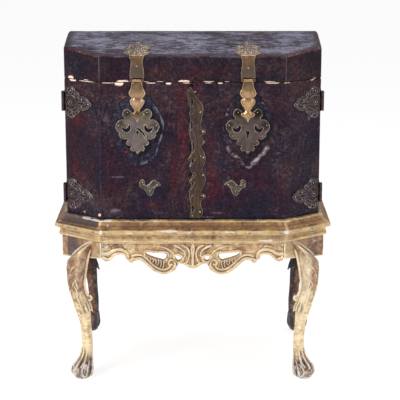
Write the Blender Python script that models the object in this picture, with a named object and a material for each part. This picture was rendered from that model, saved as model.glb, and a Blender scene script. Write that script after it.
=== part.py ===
# Leather-covered travel trunk with brass mounts on a carved, gilded stand.
# Metres, +Z up. Origin on the floor under the middle of the stand; the front faces -Y.
import bpy
import bmesh
import math
from mathutils import Matrix, Vector

# ---------------------------------------------------------------- dimensions
GAP = 0.0003            # clearance between touching pieces
TRUNK_W = 0.830         # over the leather, side to side
TRUNK_D = 0.560         # over the leather, front to back
FRONT_W = 0.592         # flat part of the front, between the canted corners
CANT_D = 0.092          # depth of a canted corner
LEATHER = 0.002
BOARD = 0.016
Z_BASE = 0.552          # underside of the trunk
Z_SEAM = 1.000          # parting line of body and lid
SEAM = 0.0012           # half of the seam's width
Z_LID = 1.083           # top edge of the lid's front
LID_RISE = 0.045        # crown of the lid above that edge
LID_BOARD = 0.012
DOOR_FLOOR_GAP = 0.0022  # daylight under the doors
MEET = 0.0008           # half of the gap between the two doors

PLATE_T = 0.002         # brass plate thickness
KNUCKLE_R = 0.005
BORE_R = 0.0027
PIN_R = 0.0023
HINGE_Z = (0.925, 0.621)   # centres of the upper and lower door hinges
HINGE_H = 0.062            # knuckle height
LOCK_X = 0.176             # hasps, locks and lid straps, from the centre
LOCK_Z = 0.842             # centre of a lock plate
HASP_Z = Z_SEAM + 0.0068   # hasp pin
STAPLE_Z = 0.893           # staple on the back of a hasp
HASP_W = 0.0030            # back of a hasp, in front of the leather
LID_HINGE_X = 0.235
HANDLE_Y = 0.046
HANDLE_Z = 0.815
HANDLE_HALF = 0.055

Z_RAIL = 0.4815         # top of rails and legs, under the moulding
RAIL_T = 0.024
RAIL_OUT = 0.012        # face of the rails, outside the trunk's face
Z_FRAME = Z_BASE - GAP  # top of the stand's frame

# ---------------------------------------------------------------- clean start
for ob in list(bpy.data.objects):
    bpy.data.objects.remove(ob, do_unlink=True)
for me in list(bpy.data.meshes):
    bpy.data.meshes.remove(me)
for cu in list(bpy.data.curves):
    bpy.data.curves.remove(cu)
for co in list(bpy.data.collections):
    bpy.data.collections.remove(co)

PARTS = bpy.data.collections.new("travel_trunk_on_stand")
CUTTERS = bpy.data.collections.new("cutters")
bpy.context.scene.collection.children.link(PARTS)
bpy.context.scene.collection.children.link(CUTTERS)

MATS = {}


def material(name, rgb, rough, metal):
    m = bpy.data.materials.new(name)
    m.use_nodes = True
    b = m.node_tree.nodes["Principled BSDF"]
    b.inputs["Base Color"].default_value = (rgb[0], rgb[1], rgb[2], 1.0)
    b.inputs["Roughness"].default_value = rough
    b.inputs["Metallic"].default_value = metal
    m.diffuse_color = (rgb[0], rgb[1], rgb[2], 1.0)
    MATS[name] = m


LOOKS = {
    "leather": ((0.045, 0.020, 0.028), 0.45, 0.0),
    "carcass_wood": ((0.22, 0.12, 0.06), 0.65, 0.0),
    "brass": ((0.28, 0.20, 0.10), 0.42, 1.0),
    "bronze": ((0.11, 0.08, 0.06), 0.50, 1.0),
    "iron": ((0.06, 0.055, 0.05), 0.55, 1.0),
    "gilt_wood": ((0.55, 0.36, 0.14), 0.40, 0.35),
    "rail_wood": ((0.16, 0.09, 0.045), 0.60, 0.0),
}
NODE_LOOK = {}


def own_material(name, look):
    rgb, rough, metal = LOOKS[look]
    material(name + "_mat", rgb, rough, metal)
    NODE_LOOK[name] = look
    return MATS[name + "_mat"]


# ---------------------------------------------------------------- helpers
def face_out(bm):
    bmesh.ops.recalc_face_normals(bm, faces=bm.faces)
    if bm.calc_volume(signed=True) < 0:
        bmesh.ops.reverse_faces(bm, faces=bm.faces)


def to_object(name, bm, look=None, matrix=None, cutter=False):
    me = bpy.data.meshes.new(name)
    face_out(bm)
    bm.to_mesh(me)
    bm.free()
    ob = bpy.data.objects.new(name, me)
    if matrix is not None:
        ob.matrix_world = matrix
    if cutter:
        CUTTERS.objects.link(ob)
        ob.hide_render = True
        ob.display_type = "WIRE"
    else:
        PARTS.objects.link(ob)
        me.materials.append(own_material(name, look))
    return ob


def plate_bm(outline, holes, thickness):
    """Closed prism of a 2D outline with holes, centred on its thickness."""
    cu = bpy.data.curves.new("outline", "CURVE")
    cu.dimensions = "2D"
    cu.fill_mode = "BOTH"
    cu.extrude = thickness / 2
    for pts in [outline] + list(holes):
        sp = cu.splines.new("POLY")
        sp.points.add(len(pts) - 1)
        for p, (x, y) in zip(sp.points, pts):
            p.co = (x, y, 0.0, 1.0)
        sp.use_cyclic_u = True
    ob = bpy.data.objects.new("outline", cu)
    bpy.context.scene.collection.objects.link(ob)
    deps = bpy.context.evaluated_depsgraph_get()
    me = bpy.data.meshes.new_from_object(ob.evaluated_get(deps))
    bpy.data.objects.remove(ob, do_unlink=True)
    bpy.data.curves.remove(cu)
    bm = bmesh.new()
    bm.from_mesh(me)
    bpy.data.meshes.remove(me)
    bmesh.ops.remove_doubles(bm, verts=bm.verts, dist=0.00002)
    face_out(bm)
    return bm


def plate(name, outline, thickness, matrix, look, holes=(), cutter=False):
    return to_object(name, plate_bm(outline, holes, thickness), look, matrix, cutter)


def box_bm(lo, hi):
    bm = bmesh.new()
    bmesh.ops.create_cube(bm, size=1.0)
    for v in bm.verts:
        for i in range(3):
            v.co[i] = lo[i] if v.co[i] < 0 else hi[i]
    return bm


def box(name, lo, hi, look, cutter=False):
    return to_object(name, box_bm(lo, hi), look, None, cutter)


def cylinder(name, p0, p1, r, look, segments=14, cutter=False):
    p0, p1 = Vector(p0), Vector(p1)
    d = p1 - p0
    bm = bmesh.new()
    bmesh.ops.create_cone(bm, cap_ends=True, segments=segments, radius1=r, radius2=r, depth=d.length)
    rot = d.to_track_quat("Z", "Y").to_matrix().to_4x4()
    return to_object(name, bm, look, Matrix.Translation((p0 + p1) / 2) @ rot, cutter)


def boolean(ob, other, op):
    m = ob.modifiers.new(op.lower(), "BOOLEAN")
    m.operation = op
    m.solver = "EXACT"
    m.object = other
    return ob


def tube(name, points, r, look, res=2, cyclic=False):
    """Round wire along points, as a closed mesh."""
    cu = bpy.data.curves.new(name, "CURVE")
    cu.dimensions = "3D"
    cu.bevel_depth = r
    cu.bevel_resolution = res
    cu.use_fill_caps = True
    sp = cu.splines.new("POLY")
    sp.points.add(len(points) - 1)
    for p, q in zip(sp.points, points):
        p.co = (q[0], q[1], q[2], 1.0)
    ob = bpy.data.objects.new(name, cu)
    bpy.context.scene.collection.objects.link(ob)
    deps = bpy.context.evaluated_depsgraph_get()
    me = bpy.data.meshes.new_from_object(ob.evaluated_get(deps))
    bpy.data.objects.remove(ob, do_unlink=True)
    bpy.data.curves.remove(cu)
    bm = bmesh.new()
    bm.from_mesh(me)
    bpy.data.meshes.remove(me)
    bmesh.ops.remove_doubles(bm, verts=bm.verts, dist=0.00002)
    return to_object(name, bm, look)


def loft_bm(rings, cap=True, close=False):
    """Quads between equal rings of points; caps at both ends, or a closed loop of rings."""
    bm = bmesh.new()
    vs = [[bm.verts.new(p) for p in ring] for ring in rings]
    n = len(vs[0])
    count = len(vs) if close else len(vs) - 1
    for i in range(count):
        a, b = vs[i], vs[(i + 1) % len(vs)]
        for j in range(n):
            k = (j + 1) % n
            bm.faces.new((a[j], a[k], b[k], b[j]))
    if cap and not close:
        bm.faces.new(vs[0])
        bm.faces.new(list(reversed(vs[-1])))
    bmesh.ops.recalc_face_normals(bm, faces=bm.faces)
    return bm


def smooth(points, steps, cyclic=True):
    """Catmull-Rom curve through 2D points."""
    out = []
    n = len(points)
    last = n if cyclic else n - 1
    for i in range(last):
        if cyclic:
            p = [points[(i + k) % n] for k in (-1, 0, 1, 2)]
        else:
            p = [points[min(max(i + k, 0), n - 1)] for k in (-1, 0, 1, 2)]
        for s in range(steps):
            t = s / steps
            q = []
            for c in range(2):
                a, b, d, e = p[0][c], p[1][c], p[2][c], p[3][c]
                q.append(0.5 * (2 * b + (d - a) * t + (2 * a - 5 * b + 4 * d - e) * t * t
                                + (3 * b - a - 3 * d + e) * t * t * t))
            out.append(tuple(q))
    if not cyclic:
        out.append(tuple(points[-1]))
    return out


def mirror_half(half):
    """Closed symmetric outline from its right half, top to bottom, both ends on x = 0."""
    left = [(-x, y) for x, y in reversed(half) if x > 1e-9]
    return list(half) + left


def mm(points):
    return [(x / 1000.0, y / 1000.0) for x, y in points]


def flip(points):
    return [(-x, y) for x, y in points]


def circle(cx, cy, r, n=14, start=0.0):
    return [(cx + r * math.cos(start + 2 * math.pi * i / n), cy + r * math.sin(start + 2 * math.pi * i / n))
            for i in range(n)]


def inset(poly, d):
    """Polygon whose sides are moved inwards by d (outwards where d < 0); poly runs anticlockwise."""
    n = len(poly)
    out = []
    for i in range(n):
        p0, p1, p2 = Vector(poly[i - 1]), Vector(poly[i]), Vector(poly[(i + 1) % n])
        e1, e2 = (p1 - p0).normalized(), (p2 - p1).normalized()
        n1, n2 = Vector((-e1.y, e1.x)), Vector((-e2.y, e2.x))
        bis = (n1 + n2)
        out.append(tuple(p1 + bis * (d / (1.0 + n1.dot(n2)))))
    return out


def frame_matrix(origin, u, v):
    u, v = Vector(u).normalized(), Vector(v).normalized()
    w = u.cross(v)
    m = Matrix((u, v, w)).transposed().to_4x4()
    m.translation = Vector(origin)
    return m


# ---------------------------------------------------------------- plan of the trunk
B = TRUNK_W / 2
A = FRONT_W / 2
YF = -TRUNK_D / 2
YB = TRUNK_D / 2
YC = YF + CANT_D
PLAN = [(-A, YF), (A, YF), (B, YC), (B, YB), (-B, YB), (-B, YC)]   # anticlockwise
SKIN_IN = inset(PLAN, LEATHER)
WOOD_OUT = inset(PLAN, LEATHER + GAP)
WOOD_IN = inset(PLAN, LEATHER + GAP + BOARD)
CANT_L = math.hypot(B - A, CANT_D)
CU = ((B - A) / CANT_L, CANT_D / CANT_L)      # along the right cant, front to rear
CN = (CU[1], -CU[0])                          # outward normal of the right cant
BIS = Vector((1.0 + CN[0], CN[1])).normalized()   # outward bisector at the rear end of the cant
KNUCKLE_OFF = KNUCKLE_R + 0.0004
AXIS_OFF = KNUCKLE_OFF / BIS.x
DOOR_AXIS = (B + BIS.x * AXIS_OFF, YC + BIS.y * AXIS_OFF)


def front_matrix(x, z, w):
    """Local x, y, z are right, up and out of the front; w is how far in front of the leather."""
    return frame_matrix((x, YF - w, z), (1, 0, 0), (0, 0, 1))


def cant_matrix(side, z, w):
    """Local frame on a canted corner, origin at its rear edge; local x runs away from the middle
    on the right and towards it on the left."""
    p = (side * (B + CN[0] * w), YC + CN[1] * w, z)
    u = (CU[0], CU[1], 0) if side > 0 else (CU[0], -CU[1], 0)
    return frame_matrix(p, u, (0, 0, 1))


def side_matrix(side, y, z, w):
    u = (0, 1, 0) if side > 0 else (0, -1, 0)
    return frame_matrix((side * (B + w), y, z), u, (0, 0, 1))


def back_matrix(x, z, w):
    return frame_matrix((x, YB + w, z), (-1, 0, 0), (0, 0, 1))


def prism(name, outline, z0, z1, look, holes=(), cutter=False):
    return plate(name, outline, z1 - z0, Matrix.Translation((0, 0, (z0 + z1) / 2)), look, holes, cutter)


# ---------------------------------------------------------------- stand
def frame_profile():
    z = Z_FRAME
    return [(-0.045, Z_RAIL + GAP), (-0.045, z), (0.010, z), (0.0125, z - 0.003), (0.0135, z - 0.010),
            (0.018, z - 0.018), (0.026, z - 0.023), (0.030, z - 0.0255), (0.0365, z - 0.0275),
            (0.0395, z - 0.0325), (0.0385, z - 0.0390), (0.0330, z - 0.0425), (0.0265, z - 0.0450),
            (0.0225, z - 0.0510), (0.0225, z - 0.0575), (0.0260, z - 0.0600), (0.0268, z - 0.0655),
            (0.0235, Z_RAIL + GAP)]


rings = []
for off, z in frame_profile():
    rings.append([(x, y, z) for x, y in inset(PLAN, -off)])
to_object("stand_top_frame", loft_bm(rings, close=True), "gilt_wood")

# rails under the frame
RAIL_PLAN = inset(PLAN, -RAIL_OUT)
RAIL_IN = inset(PLAN, -RAIL_OUT + RAIL_T)
RAIL_END_X = 0.2955
RAIL_END_Y = -0.170
BACK_END_Y = 0.190

apron_half = [(0.0, 0.0), (295.5, 0.0), (295.5, -62.0), (288.0, -66.5), (279.0, -69.0), (270.0, -66.0), (259.0, -57.0),
              (250.0, -48.5), (235.0, -45.0), (223.0, -49.0), (218.0, -59.0), (211.0, -65.0), (204.0, -72.0),
              (196.0, -73.0), (185.0, -66.0), (170.0, -66.0), (156.0, -77.0), (134.0, -97.0), (113.0, -109.0),
              (91.0, -112.0), (69.0, -105.0), (56.0, -96.0), (50.0, -85.0), (44.0, -76.0), (30.0, -79.0),
              (15.0, -89.0), (0.0, -93.0)]
apron_outline = mm(mirror_half(apron_half))
hole_a = mm(smooth([(88, -43), (112, -41), (134, -39), (150, -37), (149, -47), (126, -57), (107, -62), (94, -65), (86, -54)], 1))
hole_b = mm(smooth([(37, -58), (43, -52), (51, -50), (56, -55), (51, -66), (42, -66)], 2))
apron_holes = [hole_a, flip(hole_a), hole_b, flip(hole_b)]
plate("front_apron", apron_outline, RAIL_T,
      frame_matrix((0, YF - RAIL_OUT + RAIL_T / 2, Z_RAIL), (1, 0, 0), (0, 0, 1)), "gilt_wood", apron_holes)

side_len = BACK_END_Y - RAIL_END_Y
side_mid = (BACK_END_Y + RAIL_END_Y) / 2
h = side_len / 2 * 1000
side_half = [(0.0, 0.0), (h, 0.0), (h, -62.0), (h - 14, -66.0), (h - 30, -56.0), (h - 52, -46.0), (70.0, -50.0),
             (44.0, -64.0), (20.0, -74.0), (0.0, -76.0)]
for side, word in ((-1, "left"), (1, "right")):
    u = (0, 1, 0) if side > 0 else (0, -1, 0)
    plate(word + "_side_rail", mm(mirror_half(side_half)), RAIL_T,
          frame_matrix((side * (B + RAIL_OUT - RAIL_T / 2), side_mid, Z_RAIL), u, (0, 0, 1)), "gilt_wood")
box("back_rail", (-RAIL_END_X, YB + RAIL_OUT - RAIL_T, Z_RAIL - 0.062), (RAIL_END_X, YB + RAIL_OUT, Z_RAIL), "rail_wood")

# cabriole legs: z, throw along the diagonal, half width across it, half width along it, squareness
LEG = [(0.4780, -0.014, 0.038, 0.022, 5.0), (0.4620, -0.010, 0.039, 0.027, 4.6), (0.4480, 0.000, 0.040, 0.031, 4.5),
       (0.4340, 0.016, 0.039, 0.033, 4.3), (0.4180, 0.034, 0.035, 0.032, 4.1), (0.4000, 0.044, 0.031, 0.029, 3.9),
       (0.3880, 0.048, 0.028, 0.0275, 3.8),
       (0.3550, 0.051, 0.0240, 0.0245, 3.5), (0.3250, 0.0515, 0.0222, 0.0228, 3.4), (0.2950, 0.043, 0.0222, 0.0225, 3.2),
       (0.2650, 0.031, 0.0228, 0.0228, 3.1), (0.2250, 0.0205, 0.0200, 0.0200, 3.0), (0.1800, 0.0115, 0.0165, 0.0165, 2.8),
       (0.1270, 0.005, 0.0165, 0.0165, 2.6), (0.0850, 0.007, 0.0172, 0.0172, 2.6), (0.0600, 0.015, 0.020, 0.021, 2.4),
       (0.0400, 0.026, 0.025, 0.027, 2.4), (0.0200, 0.031, 0.027, 0.031, 2.4), (0.0060, 0.031, 0.024, 0.028, 2.4),
       (0.0, 0.030, 0.019, 0.022, 2.4)]
LEG_X, LEG_Y = 0.350, 0.224
REAR_OUT = 0.012                    # the rear legs stand this much farther apart on each side
LEG_SIDES = 12


def leg(name, sx, sy):
    n = Vector((CN[0] * sx, -CN[1] * sy))
    t = Vector((-n.y, n.x))
    rings = []
    for z, s, ht, hn, k in LEG:
        c = Vector(((LEG_X + (REAR_OUT if sy > 0 else 0.0)) * sx, LEG_Y * sy)) + n * s
        ring = []
        for i in range(LEG_SIDES):
            a = 2 * math.pi * (i + 0.5) / LEG_SIDES
            ca, sa = math.cos(a), math.sin(a)
            m = (abs(ca) ** k + abs(sa) ** k) ** (-1.0 / k)
            p = c + t * (ht * m * ca) + n * (hn * m * sa)
            ring.append((p.x, p.y, z))
        rings.append(ring)
    knee = to_object(name + "_knee", loft_bm(rings), cutter=True)
    # corner post that the rails butt against
    x0, y0 = RAIL_END_X + GAP, abs(RAIL_END_Y) + GAP
    if sy < 0:
        post = [(x0, -YF + RAIL_OUT - RAIL_T), (x0, -YF + RAIL_OUT - 0.001)]
        off = inset(PLAN, -(RAIL_OUT - 0.001))
        post += [(off[1][0], -off[1][1]), (off[2][0], -off[2][1]), (off[2][0], y0), (B + RAIL_OUT - RAIL_T, y0),
                 (LEG_X - 0.020, LEG_Y - 0.024)]
    else:
        y0 = BACK_END_Y + GAP
        post = [(x0, YB + RAIL_OUT - RAIL_T), (x0, YB + RAIL_OUT - 0.001), (B + RAIL_OUT - 0.001, YB + RAIL_OUT - 0.001),
                (B + RAIL_OUT - 0.001, y0), (B + RAIL_OUT - RAIL_T, y0), (LEG_X - 0.020, LEG_Y - 0.024)]
    post = [(x * sx, y * sy) for x, y in post]
    ob = prism(name, post, Z_RAIL - 0.055, Z_RAIL, "gilt_wood")
    boolean(ob, knee, "UNION")
    return ob


for sx, wx in ((-1, "left"), (1, "right")):
    for sy, wy in ((-1, "front"), (1, "rear")):
        leg(wy + "_" + wx + "_leg", sx, sy)

# ---------------------------------------------------------------- trunk body
WALL_TOP = Z_SEAM - SEAM
boxes_y0 = WOOD_IN[2][1]


def wall_end(side, poly):
    """End of a side wall at the mitre behind the cant."""
    return (side * poly[2][0], poly[2][1] + MEET)


for side, word in ((-1, "left"), (1, "right")):
    outline = [wall_end(side, WOOD_OUT), (side * WOOD_OUT[3][0], WOOD_OUT[3][1]),
               (side * WOOD_IN[3][0], WOOD_OUT[3][1]), wall_end(side, WOOD_IN)]
    prism("trunk_" + word + "_side", outline, Z_BASE, WALL_TOP, "carcass_wood")
box("trunk_back", (-WOOD_IN[3][0] + GAP, WOOD_IN[3][1], Z_BASE), (WOOD_IN[3][0] - GAP, WOOD_OUT[3][1], WALL_TOP),
    "carcass_wood")
floor_plan = inset(PLAN, LEATHER + GAP + BOARD + 0.0008)
prism("trunk_floor", [(x, min(y, WOOD_IN[3][1] - GAP)) for x, y in floor_plan], Z_BASE, Z_BASE + 0.016, "carcass_wood")

skin = [wall_end(1, PLAN), (B, YB), (-B, YB), wall_end(-1, PLAN), wall_end(-1, SKIN_IN),
        (-SKIN_IN[3][0], SKIN_IN[3][1]), (SKIN_IN[3][0], SKIN_IN[3][1]), wall_end(1, SKIN_IN)]
prism("trunk_leather", skin, Z_BASE, WALL_TOP, "leather")

# ---------------------------------------------------------------- doors
DOOR_Z0 = Z_BASE + DOOR_FLOOR_GAP


def door_outline(side, outer, inner):
    e_out = (outer[2][0] - CU[0] * MEET, outer[2][1] - CU[1] * MEET)
    e_in = (inner[2][0] - CU[0] * MEET, inner[2][1] - CU[1] * MEET)
    pts = [(MEET, outer[1][1]), outer[1], e_out, e_in, inner[1], (MEET, inner[1][1])]
    return [(side * x, y) for x, y in pts]


LOCK_CASE = (0.024, -0.036, 0.068)   # half width, bottom and top from the plate's centre
CASE_DEEP = 0.0130

for side, word in ((-1, "left"), (1, "right")):
    ax = bpy.data.objects.new(word + "_door_axis", None)
    ax.location = (side * DOOR_AXIS[0], DOOR_AXIS[1], Z_BASE)
    PARTS.objects.link(ax)
    cx = side * LOCK_X
    w, lo, hi = LOCK_CASE
    pocket = box(word + "_lock_pocket", (cx - w - GAP, YF - 0.01, LOCK_Z + lo - GAP),
                 (cx + w + GAP, YF + CASE_DEEP + GAP, LOCK_Z + hi + GAP), None, cutter=True)
    board = prism(word + "_door_board", door_outline(side, WOOD_OUT, WOOD_IN), DOOR_Z0, WALL_TOP, "carcass_wood")
    boolean(board, pocket, "DIFFERENCE")
    hide = prism(word + "_door_leather", door_outline(side, PLAN, SKIN_IN), DOOR_Z0, WALL_TOP, "leather")
    boolean(hide, pocket, "DIFFERENCE")

# ---------------------------------------------------------------- lid
def lid_z(y, drop=0.0):
    """Top of the lid: two nearly straight slopes that meet in a soft ridge."""
    k = 0.16
    u = abs(y) / (TRUNK_D / 2)
    f = (math.sqrt(1 + k * k) - math.sqrt(u * u + k * k)) / (math.sqrt(1 + k * k) - k)
    return Z_LID + LID_RISE * f - drop


def arch_cutter(name, drop, above):
    """Everything under (or above) the lid's top, dropped by a thickness."""
    ys = [-0.30, -0.28, -0.21, -0.14, -0.09, -0.055, -0.025, 0.0]
    ys = ys + [-y for y in reversed(ys[:-1])]
    top = [(y, lid_z(y, drop)) for y in ys]
    far = 1.30 if above else 0.90
    outline = top + [(ys[-1], far), (ys[0], far)]
    m = frame_matrix((0, 0, 0), (0, 1, 0), (0, 0, 1))
    return plate(name, outline, 1.2, m, None, cutter=True)


Z_LID0 = Z_SEAM + SEAM
under_skin = arch_cutter("lid_outer_shape", 0.0, False)
under_board = arch_cutter("lid_board_shape", LEATHER, False)
under_rim = arch_cutter("lid_rim_shape", LEATHER + GAP + LID_BOARD + GAP, False)
below_board = arch_cutter("lid_hollow_shape", LEATHER + GAP + LID_BOARD, False)

lid_core = prism("lid_core_shape", SKIN_IN, Z_LID0 - 0.05, 1.25, None, cutter=True)
boolean(lid_core, under_board, "INTERSECT")
lid_leather = prism("lid_leather", PLAN, Z_LID0, 1.25, "leather")
boolean(lid_leather, under_skin, "INTERSECT")
boolean(lid_leather, lid_core, "DIFFERENCE")

lid_top = prism("lid_top_board", WOOD_OUT, Z_LID0 + 0.02, 1.25, "carcass_wood")
board_top = arch_cutter("lid_board_top_shape", LEATHER + GAP, False)
boolean(lid_top, board_top, "INTERSECT")
boolean(lid_top, below_board, "DIFFERENCE")

lid_rim = prism("lid_rim", WOOD_OUT, Z_LID0, 1.25, "carcass_wood", holes=[WOOD_IN])
boolean(lid_rim, under_rim, "INTERSECT")

lid_axis = bpy.data.objects.new("lid_axis", None)
lid_axis.location = (0, YB + KNUCKLE_OFF, Z_SEAM)
PARTS.objects.link(lid_axis)

# ---------------------------------------------------------------- brass: knuckles and leaves
def knuckle(name, origin, axis_u, axis_v, length, bore=True, r=KNUCKLE_R):
    """Hinge barrel whose axis is the local z of the frame (u, v)."""
    return plate(name, circle(0, 0, r, 16, math.pi / 16), length, frame_matrix(origin, axis_u, axis_v), None,
                 [circle(0, 0, BORE_R, 12)] if bore else (), cutter=True)


SPLIT = 0.012           # half height of the middle barrel
SLIT = 0.0004

leaf_half = [(6.0, 33.0), (11.0, 45.0), (25.0, 54.0), (41.0, 52.0), (51.0, 41.0), (47.0, 29.0),
             (57.0, 21.0), (72.0, 23.0), (88.0, 15.0), (101.0, 6.0), (120.0, 0.0)]
for side, word in ((-1, "left"), (1, "right")):
    for zc, level in zip(HINGE_Z, ("upper", "lower")):
        pre = word + "_" + level + "_hinge"
        c = (side * DOOR_AXIS[0], DOOR_AXIS[1], zc)
        # leaf on the door: three lobes, with the middle barrel
        top = [(-x, y) for x, y in leaf_half]
        low = [(-x, -y) for x, y in reversed(leaf_half[:-1])]
        tab = [(-6.0, -SPLIT * 1000 + 0.6), (0.8, -SPLIT * 1000 + 0.6), (0.8, SPLIT * 1000 - 0.6), (-6.0, SPLIT * 1000 - 0.6)]
        outline = mm(top + low + tab)
        if side < 0:
            outline = flip(outline)
        ob = plate(pre + "_door_leaf", outline, PLATE_T, cant_matrix(side, zc, GAP + PLATE_T / 2), "bronze")
        boolean(ob, knuckle(pre + "_mid_barrel", c, (1, 0, 0), (0, 1, 0), 2 * SPLIT - SLIT), "UNION")
        # leaf on the side, with the two outer barrels
        e = HINGE_H / 2 * 1000
        s = SPLIT * 1000 + 0.6
        outline = mm([(6, e), (14, e), (30, e + 6), (48, e - 6), (56, 12), (66, 0), (56, -12), (48, -e + 6), (30, -e - 6),
                      (14, -e), (6, -e), (6, -e + 0.7), (-0.8, -e + 0.7), (-0.8, -s), (6, -s), (6, s), (-0.8, s), (-0.8, e - 0.7),
                      (6, e - 0.7)])
        if side < 0:
            outline = flip(outline)
        ob = plate(pre + "_side_leaf", outline, PLATE_T, side_matrix(side, YC, zc, GAP + PLATE_T / 2), "bronze")
        for sgn, end in ((1, "top"), (-1, "low")):
            half = (HINGE_H / 2 - SPLIT - SLIT / 2) / 2
            cz = zc + sgn * (SPLIT + SLIT / 2 + half)
            boolean(ob, knuckle(pre + "_" + end + "_barrel", (c[0], c[1], cz), (1, 0, 0), (0, 1, 0), 2 * half), "UNION")
        pin = cylinder(pre + "_pin", (c[0], c[1], zc - HINGE_H / 2 - 0.0005), (c[0], c[1], zc + HINGE_H / 2 + 0.0005), PIN_R,
                       "iron", 10)
        head = cylinder(pre + "_pin_head", (c[0], c[1], zc + HINGE_H / 2 + 0.0004),
                        (c[0], c[1], zc + HINGE_H / 2 + 0.0030), 0.0040, None, 10, cutter=True)
        boolean(pin, head, "UNION")

# lid hinges on the back
for side, word in ((-1, "left"), (1, "right")):
    x = side * LID_HINGE_X
    cy = YB + KNUCKLE_OFF
    c = Vector((x, cy, Z_SEAM))
    pre = word + "_lid_hinge"
    e = 26.0
    s = SPLIT * 1000
    up = mm([(-s + 0.8, 1.6), (s - 0.8, 1.6), (s - 0.8, 7), (e, 8.5), (e, 40), (14, 58), (0, 66), (-14, 58), (-e, 40), (-e, 8.5), (-s + 0.8, 7)])
    ob = plate(pre + "_lid_leaf", up, PLATE_T, back_matrix(x, Z_SEAM, GAP + PLATE_T / 2), "iron")
    boolean(ob, knuckle(pre + "_mid_barrel", c, (0, 1, 0), (0, 0, 1), 2 * SPLIT - SLIT), "UNION")
    k = e - 0.7
    down = mm([(k, -1.6), (k, -7), (e, -9), (e, -60), (16, -100), (0, -128), (-16, -100), (-e, -60), (-e, -9), (-k, -7), (-k, -1.6),
               (-s - 0.8, -1.6), (-s - 0.8, -7), (s + 0.8, -7), (s + 0.8, -1.6)])
    ob = plate(pre + "_body_leaf", down, PLATE_T, back_matrix(x, Z_SEAM, GAP + PLATE_T / 2), "iron")
    half = (e / 1000 - SPLIT - SLIT / 2) / 2
    for sgn, end in ((1, "outer"), (-1, "inner")):
        cc = c + Vector((sgn * (SPLIT + SLIT / 2 + half), 0, 0))
        boolean(ob, knuckle(pre + "_" + end + "_barrel", cc, (0, 1, 0), (0, 0, 1), 2 * half, bore=False), "UNION")
    rod = cylinder(pre + "_rod", c + Vector((-SPLIT - 0.004, 0, 0)), c + Vector((SPLIT + 0.004, 0, 0)), PIN_R, None, 10, cutter=True)
    boolean(ob, rod, "UNION")

# ---------------------------------------------------------------- locks, hasps and straps
lock_half = [(0, 66), (12, 66), (19, 71), (28, 75), (39, 72), (45, 63), (42, 53), (38, 46), (47, 39), (58, 36), (68, 28),
             (71, 17), (66, 6), (58, -3), (60, -13), (53, -22), (42, -24), (34, -28), (37, -38), (31, -49), (23, -57),
             (12, -68), (0, -77)]
crescent = [(27, 16), (33, 24), (43, 25), (51, 18), (52, 8), (46, 0), (44, 9), (38, 15)]
keyhole = [(0, -8), (-2.2, -19), (2.2, -19)]
staple_slot = [(-3.6, (STAPLE_Z - LOCK_Z) * 1000 - 9.5), (3.6, (STAPLE_Z - LOCK_Z) * 1000 - 9.5),
               (3.6, (STAPLE_Z - LOCK_Z) * 1000 + 9.5), (-3.6, (STAPLE_Z - LOCK_Z) * 1000 + 9.5)]
hasp_half = [(14.6, -3), (17, -12), (20, -26), (25.5, -38), (26, -45), (20, -53), (18, -57), (22, -62), (23.5, -68), (20, -78),
             (12.5, -89), (9, -97), (12, -102), (21, -106), (22, -112), (16, -117), (8, -121), (4, -128), (0, -135)]
strap_half = [(0, 78.4), (24, 78.4), (20, 68), (18.5, 55), (19.5, 46), (22, 38), (22.5, 26), (23, 14), (22.2, 8), (22.2, 1.6)]
HASP_BARREL = 0.0145

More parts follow.
